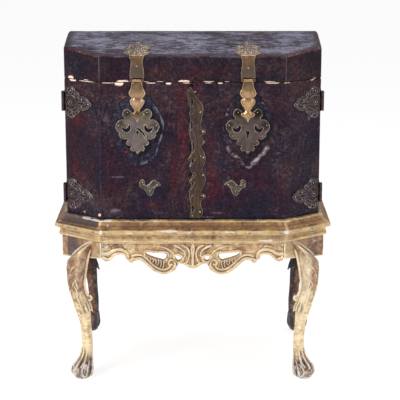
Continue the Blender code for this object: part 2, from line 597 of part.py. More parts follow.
for side, word in ((-1, "left"), (1, "right")):
    cx = side * LOCK_X
    key = smooth([(2.2, -19), (1.5, -11), (4.2, -6), (4.4, 0), (0, 3.5), (-4.4, 0), (-4.2, -6), (-1.5, -11), (-2.2, -19)], 1)
    plate(word + "_lock_plate", mm(mirror_half(lock_half)), PLATE_T, front_matrix(cx, LOCK_Z, GAP + PLATE_T / 2), "brass",
          [mm(crescent), flip(mm(crescent)), mm(key), mm(staple_slot)])
    # open tray let into the door behind the plate
    w, lo, hi = LOCK_CASE
    tray = box(word + "_lock_case", (cx - w, YF, LOCK_Z + lo), (cx + w, YF + CASE_DEEP, LOCK_Z + hi), "iron")
    room = box(word + "_lock_room", (cx - w + 0.0015, YF - 0.01, LOCK_Z + lo + 0.0015),
               (cx + w - 0.0015, YF + CASE_DEEP - 0.0015, LOCK_Z + hi - 0.0015), None, cutter=True)
    boolean(tray, room, "DIFFERENCE")
    # bolt with its talon: slides to the right through the staple
    dz = STAPLE_Z - LOCK_Z
    bolt = [(-0.0220, dz - 0.0022), (-0.0220, dz + 0.0022), (-0.0042, dz + 0.0022), (-0.0042, dz - 0.0022), (-0.0150, dz - 0.0022),
            (-0.0150, -0.018), (-0.0190, -0.018), (-0.0190, dz - 0.0022)]
    plate(word + "_lock_bolt", bolt, 0.0040, front_matrix(cx, LOCK_Z, -0.0042), "iron")

    # strap on the lid, bent over its top edge and ending in a palmette on the slope
    pin_c = Vector((cx, YF - KNUCKLE_OFF, HASP_Z))
    hb = HASP_BARREL * 1000
    half = [(x, y) for x, y in strap_half]
    outline = [(0, 78.8)] + half[1:-1] + [(22.2, 1.6), (hb + 0.9, 1.6), (hb + 0.9, 7), (0, 7.4)]
    outline = mm(mirror_half(outline))
    ob = plate(word + "_lid_strap", outline, PLATE_T, front_matrix(cx, HASP_Z, GAP + PLATE_T / 2), "brass")
    slope = Vector((0, 0.15, lid_z(YF + 0.15) - lid_z(YF))).normalized()
    palm_half = [(0, 148), (9, 138), (13, 120), (11, 104), (24, 108), (36, 98), (41, 80), (36, 62), (33, 50), (42, 38), (43, 24),
                 (34, 10), (25, 4), (22.6, -3.2), (0, -3.5)]
    normal = Vector((1, 0, 0)).cross(slope)
    base = Vector((cx, YF, lid_z(YF))) + normal * (0.0012 + PLATE_T / 2)
    palm = plate(word + "_palmette_shape", mm(mirror_half(palm_half)), PLATE_T, frame_matrix(base, (1, 0, 0), slope), None, cutter=True)
    boolean(ob, palm, "UNION")
    bar = 0.0230 - HASP_BARREL - SLIT
    for sgn, end in ((1, "outer"), (-1, "inner")):
        cc = pin_c + Vector((sgn * (HASP_BARREL + SLIT + bar / 2), 0, 0))
        boolean(ob, knuckle(word + "_strap_" + end + "_barrel", cc, (0, 1, 0), (0, 0, 1), bar), "UNION")
    # hasp
    ax = bpy.data.objects.new(word + "_hasp_axis", None)
    ax.location = pin_c
    PARTS.objects.link(ax)
    outline = mm(mirror_half([(0, -3.3)] + [(min(x, hb - 0.2) if y > -5 else x, y) for x, y in hasp_half]))
    hasp = plate(word + "_hasp", outline, 0.0030, front_matrix(cx, HASP_Z, HASP_W + 0.0015), "brass")
    boolean(hasp, knuckle(word + "_hasp_barrel", pin_c, (0, 1, 0), (0, 0, 1), 2 * HASP_BARREL - SLIT), "UNION")
    cylinder(word + "_hasp_pin", pin_c - Vector((0.0236, 0, 0)), pin_c + Vector((0.0236, 0, 0)), PIN_R, "iron", 10)
    # staple: a loop of wire on the back of the hasp
    y0, y1 = YF - HASP_W + GAP, YF + 0.0088
    pts = [(cx, y0, STAPLE_Z - 0.0062), (cx, y1 - 0.003, STAPLE_Z - 0.0062), (cx, y1, STAPLE_Z - 0.0030), (cx, y1, STAPLE_Z + 0.0030),
           (cx, y1 - 0.003, STAPLE_Z + 0.0062), (cx, y0, STAPLE_Z + 0.0062)]
    tube(word + "_staple", pts, 0.0018, "iron")

# ---------------------------------------------------------------- strap over the doors' meeting edge
strap = []
Z_S0, Z_S1 = 0.558, 0.984
n = 36
mid = 0.013
for i in range(n + 1):
    t = i / n
    z = Z_S0 + (Z_S1 - Z_S0) * t
    taper = 1.0 - 0.55 * max(0.0, (t - 0.86) / 0.14) ** 1.5
    strap.append((mid + (0.0265 + 0.0030 * math.sin(t * 2 * math.pi * 6.0)) * taper, z))
strap.append((mid - 0.004, Z_S1 + 0.008))
for i in range(n, -1, -1):
    t = i / n
    z = Z_S0 + (Z_S1 - Z_S0) * t
    taper = 1.0 - 0.55 * max(0.0, (t - 0.86) / 0.14) ** 1.5
    strap.append((mid - (0.0265 + 0.0030 * math.sin(t * 2 * math.pi * 6.0 + 0.9)) * taper, z))
slots = []
for i in range(6):
    z = 0.600 + 0.064 * i
    slots.append(smooth([(mid - 0.010, z - 0.016), (mid - 0.001, z - 0.004), (mid - 0.006, z + 0.012), (mid - 0.014, z + 0.002)], 2))
plate("meeting_strap", strap, PLATE_T, front_matrix(0, 0, GAP + PLATE_T / 2), "brass", slots)

# leaf ornaments low on the doors
orn = [(-39, 20), (-33, 28), (-22, 24), (-12, 12), (-2, 10), (8, 22), (22, 27), (38, 20), (30, 8), (18, 4), (8, -12), (2, -27), (-6, -16),
       (-16, -2), (-30, 4)]
for side, word in ((-1, "left"), (1, "right")):
    pts = mm(orn)
    if side > 0:
        pts = flip(pts)
    plate(word + "_leaf_ornament", pts, PLATE_T, front_matrix(side * 0.140, 0.655, GAP + PLATE_T / 2), "brass")

# ---------------------------------------------------------------- carrying handles on the sides
for side, word in ((-1, "left"), (1, "right")):
    back = smooth([(-82, 0), (-70, 22), (-45, 24), (-22, 16), (0, 26), (22, 16), (45, 24), (70, 22), (82, 0), (70, -22), (45, -24),
                   (22, -16), (0, -26), (-22, -16), (-45, -24), (-70, -22)], 1)
    ob = plate(word + "_handle_plate", mm(back), PLATE_T, side_matrix(side, HANDLE_Y, HANDLE_Z, GAP + PLATE_T / 2), "iron")
    xc = side * (B + 0.0085)
    for sgn, end in ((-1, "front"), (1, "rear")):
        eye = plate(word + "_" + end + "_eye", [(-0.0072, -0.0066), (0.0, -0.0066), (0.0046, -0.0046), (0.0060, 0.0), (0.0046, 0.0046), (0.0, 0.0066), (-0.0072, 0.0066)],
                    0.010, frame_matrix((xc, HANDLE_Y + sgn * HANDLE_HALF, HANDLE_Z), (side, 0, 0), (0, 0, 1)), None,
                    [circle(0, 0, 0.0037, 10)], cutter=True)
        boolean(ob, eye, "UNION")
    ax = bpy.data.objects.new(word + "_handle_axis", None)
    ax.location = (xc, HANDLE_Y, HANDLE_Z)
    PARTS.objects.link(ax)
    pts = [(xc, HANDLE_Y - HANDLE_HALF + 0.0105 - 0.0160, HANDLE_Z), (xc, HANDLE_Y - HANDLE_HALF + 0.0105, HANDLE_Z)]
    bow = [(-HANDLE_HALF + 0.0125, -0.001), (-HANDLE_HALF + 0.0100, -0.016), (-HANDLE_HALF + 0.0135, -0.034), (-HANDLE_HALF + 0.026, -0.046)]
    bow = bow + [(-y, z) for y, z in reversed(bow)]
    pts = [(xc, HANDLE_Y - HANDLE_HALF - 0.0060, HANDLE_Z)] + [(xc, HANDLE_Y + y, HANDLE_Z + z) for y, z in bow] + \
          [(xc, HANDLE_Y + HANDLE_HALF + 0.0060, HANDLE_Z)]
    tube(word + "_handle_bail", pts, 0.0032, "iron")

# ---------------------------------------------------------------- grouping on the joint axes
def ride(names, empty):
    e = bpy.data.objects[empty]
    bpy.context.view_layer.update()
    for nm in names:
        ob = bpy.data.objects[nm]
        w = ob.matrix_world.copy()
        ob.parent = e
        ob.matrix_parent_inverse = e.matrix_world.inverted()
        ob.matrix_world = w


for word in ("left", "right"):
    mine = ["door_board", "door_leather", "lock_plate", "lock_case", "lock_bolt", "leaf_ornament", "upper_hinge_door_leaf", "lower_hinge_door_leaf"]
    ride([word + "_" + m for m in mine], word + "_door_axis")
    ride([word + "_hasp", word + "_staple"], word + "_hasp_axis")
    ride([word + "_handle_bail"], word + "_handle_axis")
    ride([word + "_lid_strap", word + "_hasp_pin", word + "_hasp_axis", word + "_lid_hinge_lid_leaf"], "lid_axis")
ride(["meeting_strap"], "right_door_axis")
ride(["lid_leather", "lid_top_board", "lid_rim"], "lid_axis")

for ob in PARTS.objects:
    if ob.type == "MESH":
        ob.data.shade_smooth()
        ob.data.set_sharp_from_angle(angle=math.radians(32))
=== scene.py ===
"""Looks of a leather-covered travel trunk with brass mounts, on a carved and gilded stand.
Metres, +Z up, the front faces -Y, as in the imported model."""
import math

import bpy
import numpy as np
from mathutils import Matrix, Vector
from mathutils.geometry import delaunay_2d_cdt


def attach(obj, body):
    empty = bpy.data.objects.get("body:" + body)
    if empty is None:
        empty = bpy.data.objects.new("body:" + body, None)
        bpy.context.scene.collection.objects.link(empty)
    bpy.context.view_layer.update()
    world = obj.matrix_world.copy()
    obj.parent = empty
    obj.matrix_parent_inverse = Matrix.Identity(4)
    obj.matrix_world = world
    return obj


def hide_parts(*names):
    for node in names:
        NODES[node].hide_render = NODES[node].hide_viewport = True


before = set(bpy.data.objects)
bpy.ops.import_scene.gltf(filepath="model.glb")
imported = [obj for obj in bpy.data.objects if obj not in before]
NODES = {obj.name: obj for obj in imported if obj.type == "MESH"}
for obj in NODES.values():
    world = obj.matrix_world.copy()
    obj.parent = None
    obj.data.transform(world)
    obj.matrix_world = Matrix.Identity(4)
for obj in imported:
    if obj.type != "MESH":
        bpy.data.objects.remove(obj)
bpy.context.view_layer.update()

# ---------------------------------------------------------------- sizes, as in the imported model
A, B = 0.296, 0.415                 # half of the flat front, half of the trunk's width
YF, YB, YC = -0.280, 0.280, -0.188  # front, back, rear edge of the canted corners
Z_BASE, Z_SEAM, SEAM = 0.552, 1.000, 0.0012
DOOR_Z0, WALL_TOP = 0.5542, Z_SEAM - SEAM
Z_LID0, Z_LID, LID_RISE = Z_SEAM + SEAM, 1.083, 0.045
MEET = 0.0008
CL = math.hypot(B - A, YC - YF)
CU = np.array([(B - A) / CL, (YC - YF) / CL])
CN = np.array([CU[1], -CU[0]])
AXIS = np.array([0.4204, -0.19065])
HINGE_Z, HINGE_H, SPLIT = (0.925, 0.621), 0.062, 0.012
KNUCKLE_R = 0.005
LOCK_X, LOCK_Z = 0.176, 0.842
HASP_Z = Z_SEAM + 0.0068
LID_HINGE_X = 0.235
HANDLE_Y, HANDLE_Z, HANDLE_HALF = 0.046, 0.815, 0.055
Z_RAIL, Z_FRAME = 0.4815, 0.5517
RAIL_OUT, RAIL_T = 0.012, 0.024
LEG_X, LEG_Y, REAR_OUT = 0.350, 0.224, 0.012


def lid_z(y):
    k = 0.16
    u = np.abs(y) / 0.28
    return Z_LID + LID_RISE * (math.sqrt(1 + k * k) - np.sqrt(u * u + k * k)) / (math.sqrt(1 + k * k) - k)


# ---------------------------------------------------------------- numbers
def smooth(points, steps=8, cyclic=True):
    """Catmull-Rom curve through points of any dimension."""
    p = np.asarray(points, float)
    n = len(p)
    out = []
    for i in range(n if cyclic else n - 1):
        if cyclic:
            a, b, c, d = p[i - 1], p[i], p[(i + 1) % n], p[(i + 2) % n]
        else:
            a, b, c, d = p[max(i - 1, 0)], p[i], p[i + 1], p[min(i + 2, n - 1)]
        for s in range(steps):
            t = s / steps
            out.append(0.5 * (2 * b + (c - a) * t + (2 * a - 5 * b + 4 * c - d) * t * t + (3 * b - a - 3 * c + d) * t ** 3))
    if not cyclic:
        out.append(p[-1])
    return np.array(out)


def mirror_half(half):
    return list(half) + [(-x, y) for x, y in reversed(half) if x > 1e-9]


def step(x, a, b):
    t = np.clip((x - a) / (b - a), 0.0, 1.0)
    return t * t * (3 - 2 * t)


def noise3(P, cell, seed=0):
    """Smooth value noise from -1 to 1 at points (n, 3)."""
    q = np.asarray(P, float) / cell
    i = np.floor(q).astype(np.int64)
    f = q - i
    f = f * f * (3 - 2 * f)
    out = np.zeros(len(q))
    for dx in (0, 1):
        for dy in (0, 1):
            for dz in (0, 1):
                h = ((i[:, 0] + dx) * 374761393 + (i[:, 1] + dy) * 668265263 + (i[:, 2] + dz) * 1103515245 + seed * 974711) & 0xFFFFFFFF
                h = ((h ^ (h >> 13)) * 1274126177) & 0xFFFFFFFF
                h = h ^ (h >> 16)
                w = (f[:, 0] if dx else 1 - f[:, 0]) * (f[:, 1] if dy else 1 - f[:, 1]) * (f[:, 2] if dz else 1 - f[:, 2])
                out += w * ((h & 0xFFFF) / 65535.0)
    return out * 2 - 1


def fbm(P, cell, octaves=3, seed=0):
    out, amp, total = 0.0, 1.0, 0.0
    for k in range(octaves):
        out = out + amp * noise3(P, cell / 2 ** k, seed + 17 * k)
        total += amp
        amp *= 0.5
    return out / total


def line_dist(P, line, closed=False):
    """Distance of points (n, 2) to a line, place along it from 0 to 1, and side."""
    line = np.asarray(line, float)
    a = line if closed else line[:-1]
    b = np.roll(line, -1, 0) if closed else line[1:]
    ab = b - a
    ln = np.hypot(ab[:, 0], ab[:, 1])
    ln2 = np.maximum(ln * ln, 1e-18)
    cum = np.concatenate([[0], np.cumsum(ln)])
    d, t, side = np.empty(len(P)), np.empty(len(P)), np.empty(len(P))
    for i in range(0, len(P), 5000):
        q = P[i:i + 5000]
        ap = q[:, None, :] - a[None]
        k = np.clip((ap * ab[None]).sum(2) / ln2, 0, 1)
        off = ap - k[..., None] * ab[None]
        dd = (off ** 2).sum(2)
        j = dd.argmin(1)
        r = np.arange(len(q))
        d[i:i + 5000] = np.sqrt(dd[r, j])
        t[i:i + 5000] = (cum[j] + k[r, j] * ln[j]) / cum[-1]
        side[i:i + 5000] = np.sign(ab[j, 0] * ap[r, j, 1] - ab[j, 1] * ap[r, j, 0])
    return d, t, side


def within(P, poly):
    poly = np.asarray(poly, float)
    x, y = P[:, 0], P[:, 1]
    c = np.zeros(len(P), bool)
    n = len(poly)
    for i in range(n):
        x0, y0 = poly[i]
        x1, y1 = poly[(i + 1) % n]
        if y0 == y1:
            continue
        c ^= ((y0 > y) != (y1 > y)) & (x < (x1 - x0) * (y - y0) / (y1 - y0) + x0)
    return c


def sdf(P, polys):
    """Distance to the edge of an outline with holes; positive inside."""
    d = np.full(len(P), 1e9)
    c = np.zeros(len(P), bool)
    for poly in polys:
        d = np.minimum(d, line_dist(P, poly, True)[0])
        c ^= within(P, poly)
    return np.where(c, d, -d)


# ---------------------------------------------------------------- meshes
def add_object(name, verts, faces, material, attrs=None, sharp=None, flat=False):
    me = bpy.data.meshes.new(name)
    me.from_pydata([tuple(v) for v in np.asarray(verts, float)], [], faces)
    me.validate()
    for k, v in (attrs or {}).items():
        at = me.attributes.new(k, "FLOAT", "POINT")
        at.data.foreach_set("value", np.asarray(v, np.float32))
    ob = bpy.data.objects.new(name, me)
    bpy.context.scene.collection.objects.link(ob)
    me.materials.append(material)
    if not flat:
        me.shade_smooth()
        if sharp:
            me.set_sharp_from_angle(angle=math.radians(sharp))
    return ob


class Soup:
    """Closed shells gathered into one piece."""

    def __init__(self):
        self.v, self.f, self.n = [], [], 0

    def add(self, verts, faces):
        verts = np.asarray(verts, float)
        self.v.append(verts)
        k = self.n
        self.f += [tuple(i + k for i in f) for f in faces]
        self.n += len(verts)
        return self

    def object(self, name, material, attrs=None, sharp=40):
        return add_object(name, np.concatenate(self.v), self.f, material, attrs, sharp)


def lathe(profile, origin, axis, segments=16):
    """Turned body: profile is (radius, height) along the axis, from its bottom up, closed by its ends."""
    axis = Vector(axis).normalized()
    m = axis.to_track_quat("Z", "Y").to_matrix()
    verts, rows = [], []
    for r, h in profile:
        if r < 1e-7:
            rows.append([len(verts)])
            verts.append(m @ Vector((0, 0, h)) + Vector(origin))
        else:
            row = []
            for i in range(segments):
                a = 2 * math.pi * i / segments
                row.append(len(verts))
                verts.append(m @ Vector((r * math.cos(a), r * math.sin(a), h)) + Vector(origin))
            rows.append(row)
    faces = []
    for lo, hi in zip(rows[:-1], rows[1:]):
        for i in range(segments):
            k = (i + 1) % segments
            if len(lo) == 1:
                faces.append((lo[0], hi[k], hi[i]))
            elif len(hi) == 1:
                faces.append((lo[i], lo[k], hi[0]))
            else:
                faces.append((lo[i], lo[k], hi[k], hi[i]))
    return np.array([tuple(v) for v in verts]), faces


def sweep(points, radius, ratio=1.0, up=None, sides=12, ends=True):
    """Round or flattened rod along points; radius is a number or one for each point. up sets the short side's direction."""
    p = np.asarray(points, float)
    n = len(p)
    rad = np.full(n, radius, float) if np.isscalar(radius) else np.asarray(radius, float)
    tan = np.gradient(p, axis=0)
    tan /= np.linalg.norm(tan, axis=1)[:, None]
    verts, faces = [], []
    if up is None:
        ref = np.array([0.0, 0.0, 1.0]) if abs(tan[0][2]) < 0.9 else np.array([1.0, 0.0, 0.0])
        ups = np.empty_like(p)
        u = ref - tan[0] * (ref @ tan[0])
        for i in range(n):
            u = u - tan[i] * (u @ tan[i])
            u /= np.linalg.norm(u)
            ups[i] = u
    else:
        ups = np.broadcast_to(np.asarray(up, float), p.shape).copy()
        ups -= tan * (ups * tan).sum(1)[:, None]
        ups /= np.linalg.norm(ups, axis=1)[:, None]
    sid = np.cross(tan, ups)
    for i in range(n):
        for k in range(sides):
            a = 2 * math.pi * k / sides
            verts.append(p[i] + sid[i] * rad[i] * math.cos(a) + ups[i] * rad[i] * ratio * math.sin(a))
    for i in range(n - 1):
        for k in range(sides):
            j = (k + 1) % sides
            faces.append((i * sides + k, i * sides + j, (i + 1) * sides + j, (i + 1) * sides + k))
    if ends:
        a, b = len(verts), len(verts) + 1
        verts.append(p[0] - tan[0] * rad[0] * 0.5)
        verts.append(p[-1] + tan[-1] * rad[-1] * 0.5)
        for k in range(sides):
            j = (k + 1) % sides
            faces.append((a, j, k))
            faces.append((b, (n - 1) * sides + k, (n - 1) * sides + j))
    return np.array(verts), faces


def plate_mesh(xs, ys, F, H, L, place, extra=None):
    """Closed body over the part of a grid where F > 0, from heights L at the back to H at the front."""
    nx, ny = len(xs), len(ys)
    X, Y = np.meshgrid(xs, ys, indexing="ij")
    ins = F > 0
    ins[0, :] = ins[-1, :] = False
    ins[:, 0] = ins[:, -1] = False
    ids = np.full((nx, ny), -1, int)
    n0 = int(ins.sum())
    ids[ins] = np.arange(n0)
    extra = extra or {}
    lists = {"u": [], "v": [], "h": [], "l": [], **{k: [] for k in extra}}
    src = {"u": X, "v": Y, "h": H, "l": L, **extra}
    cross = {}

    def crossing(a, b):
        key = (a, b)
        if key not in cross:
            fa, fb = F[a], F[b]
            t = fa / (fa - fb) if fb < fa else 0.5
            t = min(max(t, 0.03), 0.97)
            for k, arr in src.items():
                lists[k].append(arr[a] * (1 - t) + arr[b] * t)
            cross[key] = n0 + len(cross)
        return cross[key]

    c0, c1, c2, c3 = ins[:-1, :-1], ins[1:, :-1], ins[1:, 1:], ins[:-1, 1:]
    full = c0 & c1 & c2 & c3
    part = (c0 | c1 | c2 | c3) & ~full
    i, j = np.nonzero(full)
    quads = np.stack([ids[i, j], ids[i + 1, j], ids[i + 1, j + 1], ids[i, j + 1]], 1)
    front = [tuple(q) for q in quads.tolist()]
    rim = []
    for i, j in zip(*[a.tolist() for a in np.nonzero(part)]):
        cs = ((i, j), (i + 1, j), (i + 1, j + 1), (i, j + 1))
        poly, marks = [], []
        for k in range(4):
            a, b = cs[k], cs[(k + 1) % 4]
            if ins[a]:
                poly.append(int(ids[a]))
            if ins[a] != ins[b]:
                c = crossing(a, b) if ins[a] else crossing(b, a)
                marks.append((c, bool(ins[a])))
                poly.append(c)
        if len(poly) >= 3:
            front.append(tuple(poly))
        for q in range(len(marks)):
            if marks[q][1]:
                rim.append((marks[q][0], marks[(q + 1) % len(marks)][0]))
    val = {k: np.concatenate([src[k][ins], np.array(lists[k])]) for k in src}
    n = len(val["u"])
    v1 = place(val["u"], val["v"], val["h"])
    v2 = place(val["u"], val["v"], val["l"])
    faces = front + [tuple(k + n for k in reversed(f)) for f in front] + [(a, a + n, b + n, b) for a, b in rim]
    if handed(place, val["u"][0], val["v"][0]) < 0:
        faces = [tuple(reversed(f)) for f in faces]
    attrs = {k: np.concatenate([val[k], val[k]]) for k in extra}
    return np.concatenate([v1, v2]), faces, attrs


def handed(place, u, v):
    """Whether a placing keeps (along, up, out) right-handed."""
    q = place(np.array([u, u + 1e-4, u, u]), np.array([v, v, v + 1e-4, v]), np.array([0, 0, 0, 1e-4]))
    return np.dot(np.cross(q[1] - q[0], q[2] - q[0]), q[3] - q[0])


def grid_for(lo, hi, cell):
    n = [int(math.ceil((b - a) / cell)) + 5 for a, b in zip(lo, hi)]
    return lo[0] - 2 * cell + cell * np.arange(n[0]), lo[1] - 2 * cell + cell * np.arange(n[1])


def relief_plate(name, polys, cell, thick, place, material, relief=None, bevel=0.0009, lift=0.0, ragged=0.0, seed=0, sharp=50,
                 extra=None, back=None):
    """Metal, wood or leather plate cut to an outline with holes, with rounded edges and a raised front."""
    polys = [np.asarray(p, float) for p in polys]
    pts = np.concatenate(polys)
    xs, ys = grid_for(pts.min(0), pts.max(0), cell)
    X, Y = np.meshgrid(xs, ys, indexing="ij")
    P = np.stack([X.ravel(), Y.ravel()], 1)
    d = sdf(P, polys)
    P3 = np.stack([P[:, 0], P[:, 1], np.full(len(P), seed * 1.7)], 1)
    if ragged:
        d = d + ragged * fbm(P3, 0.007, 3, seed)
    e = np.clip(d / bevel, 0, 1)
    h = lift + thick * (0.35 + 0.65 * np.sqrt(np.clip(1 - (1 - e) ** 2, 0, 1)))
    if relief is not None:
        h = h + relief(P, np.clip(d, 0, None))
    sh = X.shape
    low = np.full(sh, lift) if back is None else back(P, np.clip(d, 0, None)).reshape(sh)
    more = {k: v.reshape(sh) for k, v in (extra(P, np.clip(d, 0, None)) if extra else {}).items()}
    v, f, at = plate_mesh(xs, ys, d.reshape(sh), h.reshape(sh), low, place, more)
    return add_object(name, v, f, material, at, sharp)


def front_place(cx, cz, w0=0.0):
    return lambda u, v, h: np.stack([cx + u, YF - w0 - h, cz + v], 1)


def cant_place(side, zc):
    """u runs from the cant's rear edge towards the middle (0 to 0.15), mirrored on the left."""
    def place(u, v, h):
        x = B - CU[0] * u + CN[0] * h
        y = YC - CU[1] * u + CN[1] * h
        return np.stack([side * x, y, zc + v], 1)
    return place


def side_place(side, y0, z0):
    return lambda u, v, h: np.stack([side * (B + h), y0 + u, z0 + v], 1)


def back_place(x0, z0):
    return lambda u, v, h: np.stack([x0 + u, YB + h, z0 + v], 1)


def curvature(ob, few=6, many=40):
    """Writes how far each vertex stands out of its surroundings, in mm, at two scales."""
    me = ob.data
    n = len(me.vertices)
    co = np.empty(n * 3)
    me.vertices.foreach_get("co", co)
    co = co.reshape(-1, 3)
    no = np.empty(n * 3)
    me.vertices.foreach_get("normal", no)
    no = no.reshape(-1, 3)
    e = np.empty(len(me.edges) * 2, int)
    me.edges.foreach_get("vertices", e)
    e = e.reshape(-1, 2)
    a, b = np.concatenate([e[:, 0], e[:, 1]]), np.concatenate([e[:, 1], e[:, 0]])
    deg = np.maximum(np.bincount(a, minlength=n), 1)
    s = co.copy()
    for i in range(many):
        t = np.stack([np.bincount(a, weights=s[b, k], minlength=n) for k in range(3)], 1) / deg[:, None]
        s = s * 0.4 + t * 0.6
        if i == few - 1:
            fine = ((co - s) * no).sum(1) * 1000
    broad = ((co - s) * no).sum(1) * 1000
    for k, v in (("fine", fine), ("broad", broad)):
        at = me.attributes.get(k) or me.attributes.new(k, "FLOAT", "POINT")
        at.data.foreach_set("value", v.astype(np.float32))
    return ob


# ---------------------------------------------------------------- materials
class Shade:
    def __init__(self, name):
        self.m = bpy.data.materials.new(name)
        self.m.use_nodes = True
        self.t = self.m.node_tree
        self.t.nodes.clear()
        out = self.t.nodes.new("ShaderNodeOutputMaterial")
        self.b = self.t.nodes.new("ShaderNodeBsdfPrincipled")
        self.t.links.new(self.b.outputs[0], out.inputs[0])
        self.co = self.t.nodes.new("ShaderNodeTexCoord").outputs["Object"]
        sep = self.t.nodes.new("ShaderNodeSeparateXYZ")
        self.t.links.new(self.co, sep.inputs[0])
        self.x, self.y, self.z = sep.outputs

    def put(self, socket, v):
        if isinstance(v, bpy.types.NodeSocket):
            self.t.links.new(v, socket)
        elif isinstance(v, tuple):
            socket.default_value = (*v, 1.0) if socket.type == "RGBA" else v
        else:
            socket.default_value = v

    def set(self, **kw):
        for k, v in kw.items():
            self.put(self.b.inputs[k.replace("_", " ")], v)
        return self

    def math(self, op, a, b=0.0, c=0.0, clamp=False):
        n = self.t.nodes.new("ShaderNodeMath")
        n.operation = op
        n.use_clamp = clamp
        for s, v in zip(n.inputs, (a, b, c)):
            self.put(s, v)
        return n.outputs[0]

    def add(self, a, b):
        return self.math("ADD", a, b)

    def mul(self, a, b):
        return self.math("MULTIPLY", a, b)

    def mix(self, f, a, b, blend="MIX"):
        n = self.t.nodes.new("ShaderNodeMix")
        n.data_type = "RGBA"
        n.blend_type = blend
        self.put(n.inputs[0], f)
        self.put(n.inputs[6], a)
        self.put(n.inputs[7], b)
        return n.outputs[2]

    def stretch(self, sx, sy, sz):
        n = self.t.nodes.new("ShaderNodeVectorMath")
        n.operation = "MULTIPLY"
        self.t.links.new(self.co, n.inputs[0])
        n.inputs[1].default_value = (sx, sy, sz)
        return n.outputs[0]

    def noise(self, scale, detail=3.0, rough=0.55, warp=0.0, vec=None):
        n = self.t.nodes.new("ShaderNodeTexNoise")
        self.t.links.new(vec or self.co, n.inputs["Vector"])
        n.inputs["Scale"].default_value = scale
        n.inputs["Detail"].default_value = detail
        n.inputs["Roughness"].default_value = rough
        n.inputs["Distortion"].default_value = warp
        return n.outputs["Fac"]

    def cells(self, scale, feature="F1", vec=None, rand=1.0):
        n = self.t.nodes.new("ShaderNodeTexVoronoi")
        n.feature = feature
        self.t.links.new(vec or self.co, n.inputs["Vector"])
        n.inputs["Scale"].default_value = scale
        n.inputs["Randomness"].default_value = rand
        return n.outputs["Distance"]

    def attr(self, name):
        n = self.t.nodes.new("ShaderNodeAttribute")
        n.attribute_name = name
        return n.outputs["Fac"]

    def ramp(self, v, a, b, lo=0.0, hi=1.0):
        n = self.t.nodes.new("ShaderNodeMapRange")
        n.interpolation_type = "SMOOTHSTEP"
        self.put(n.inputs[0], v)
        for s, x in zip(n.inputs[1:5], (a, b, lo, hi)):
            s.default_value = x
        return n.outputs[0]

    def bump(self, height, distance, strength=1.0, normal=None):
        n = self.t.nodes.new("ShaderNodeBump")
        n.inputs["Strength"].default_value = strength
        n.inputs["Distance"].default_value = distance
        self.put(n.inputs["Height"], height)
        if normal is not None:
            self.put(n.inputs["Normal"], normal)
        return n.outputs["Normal"]


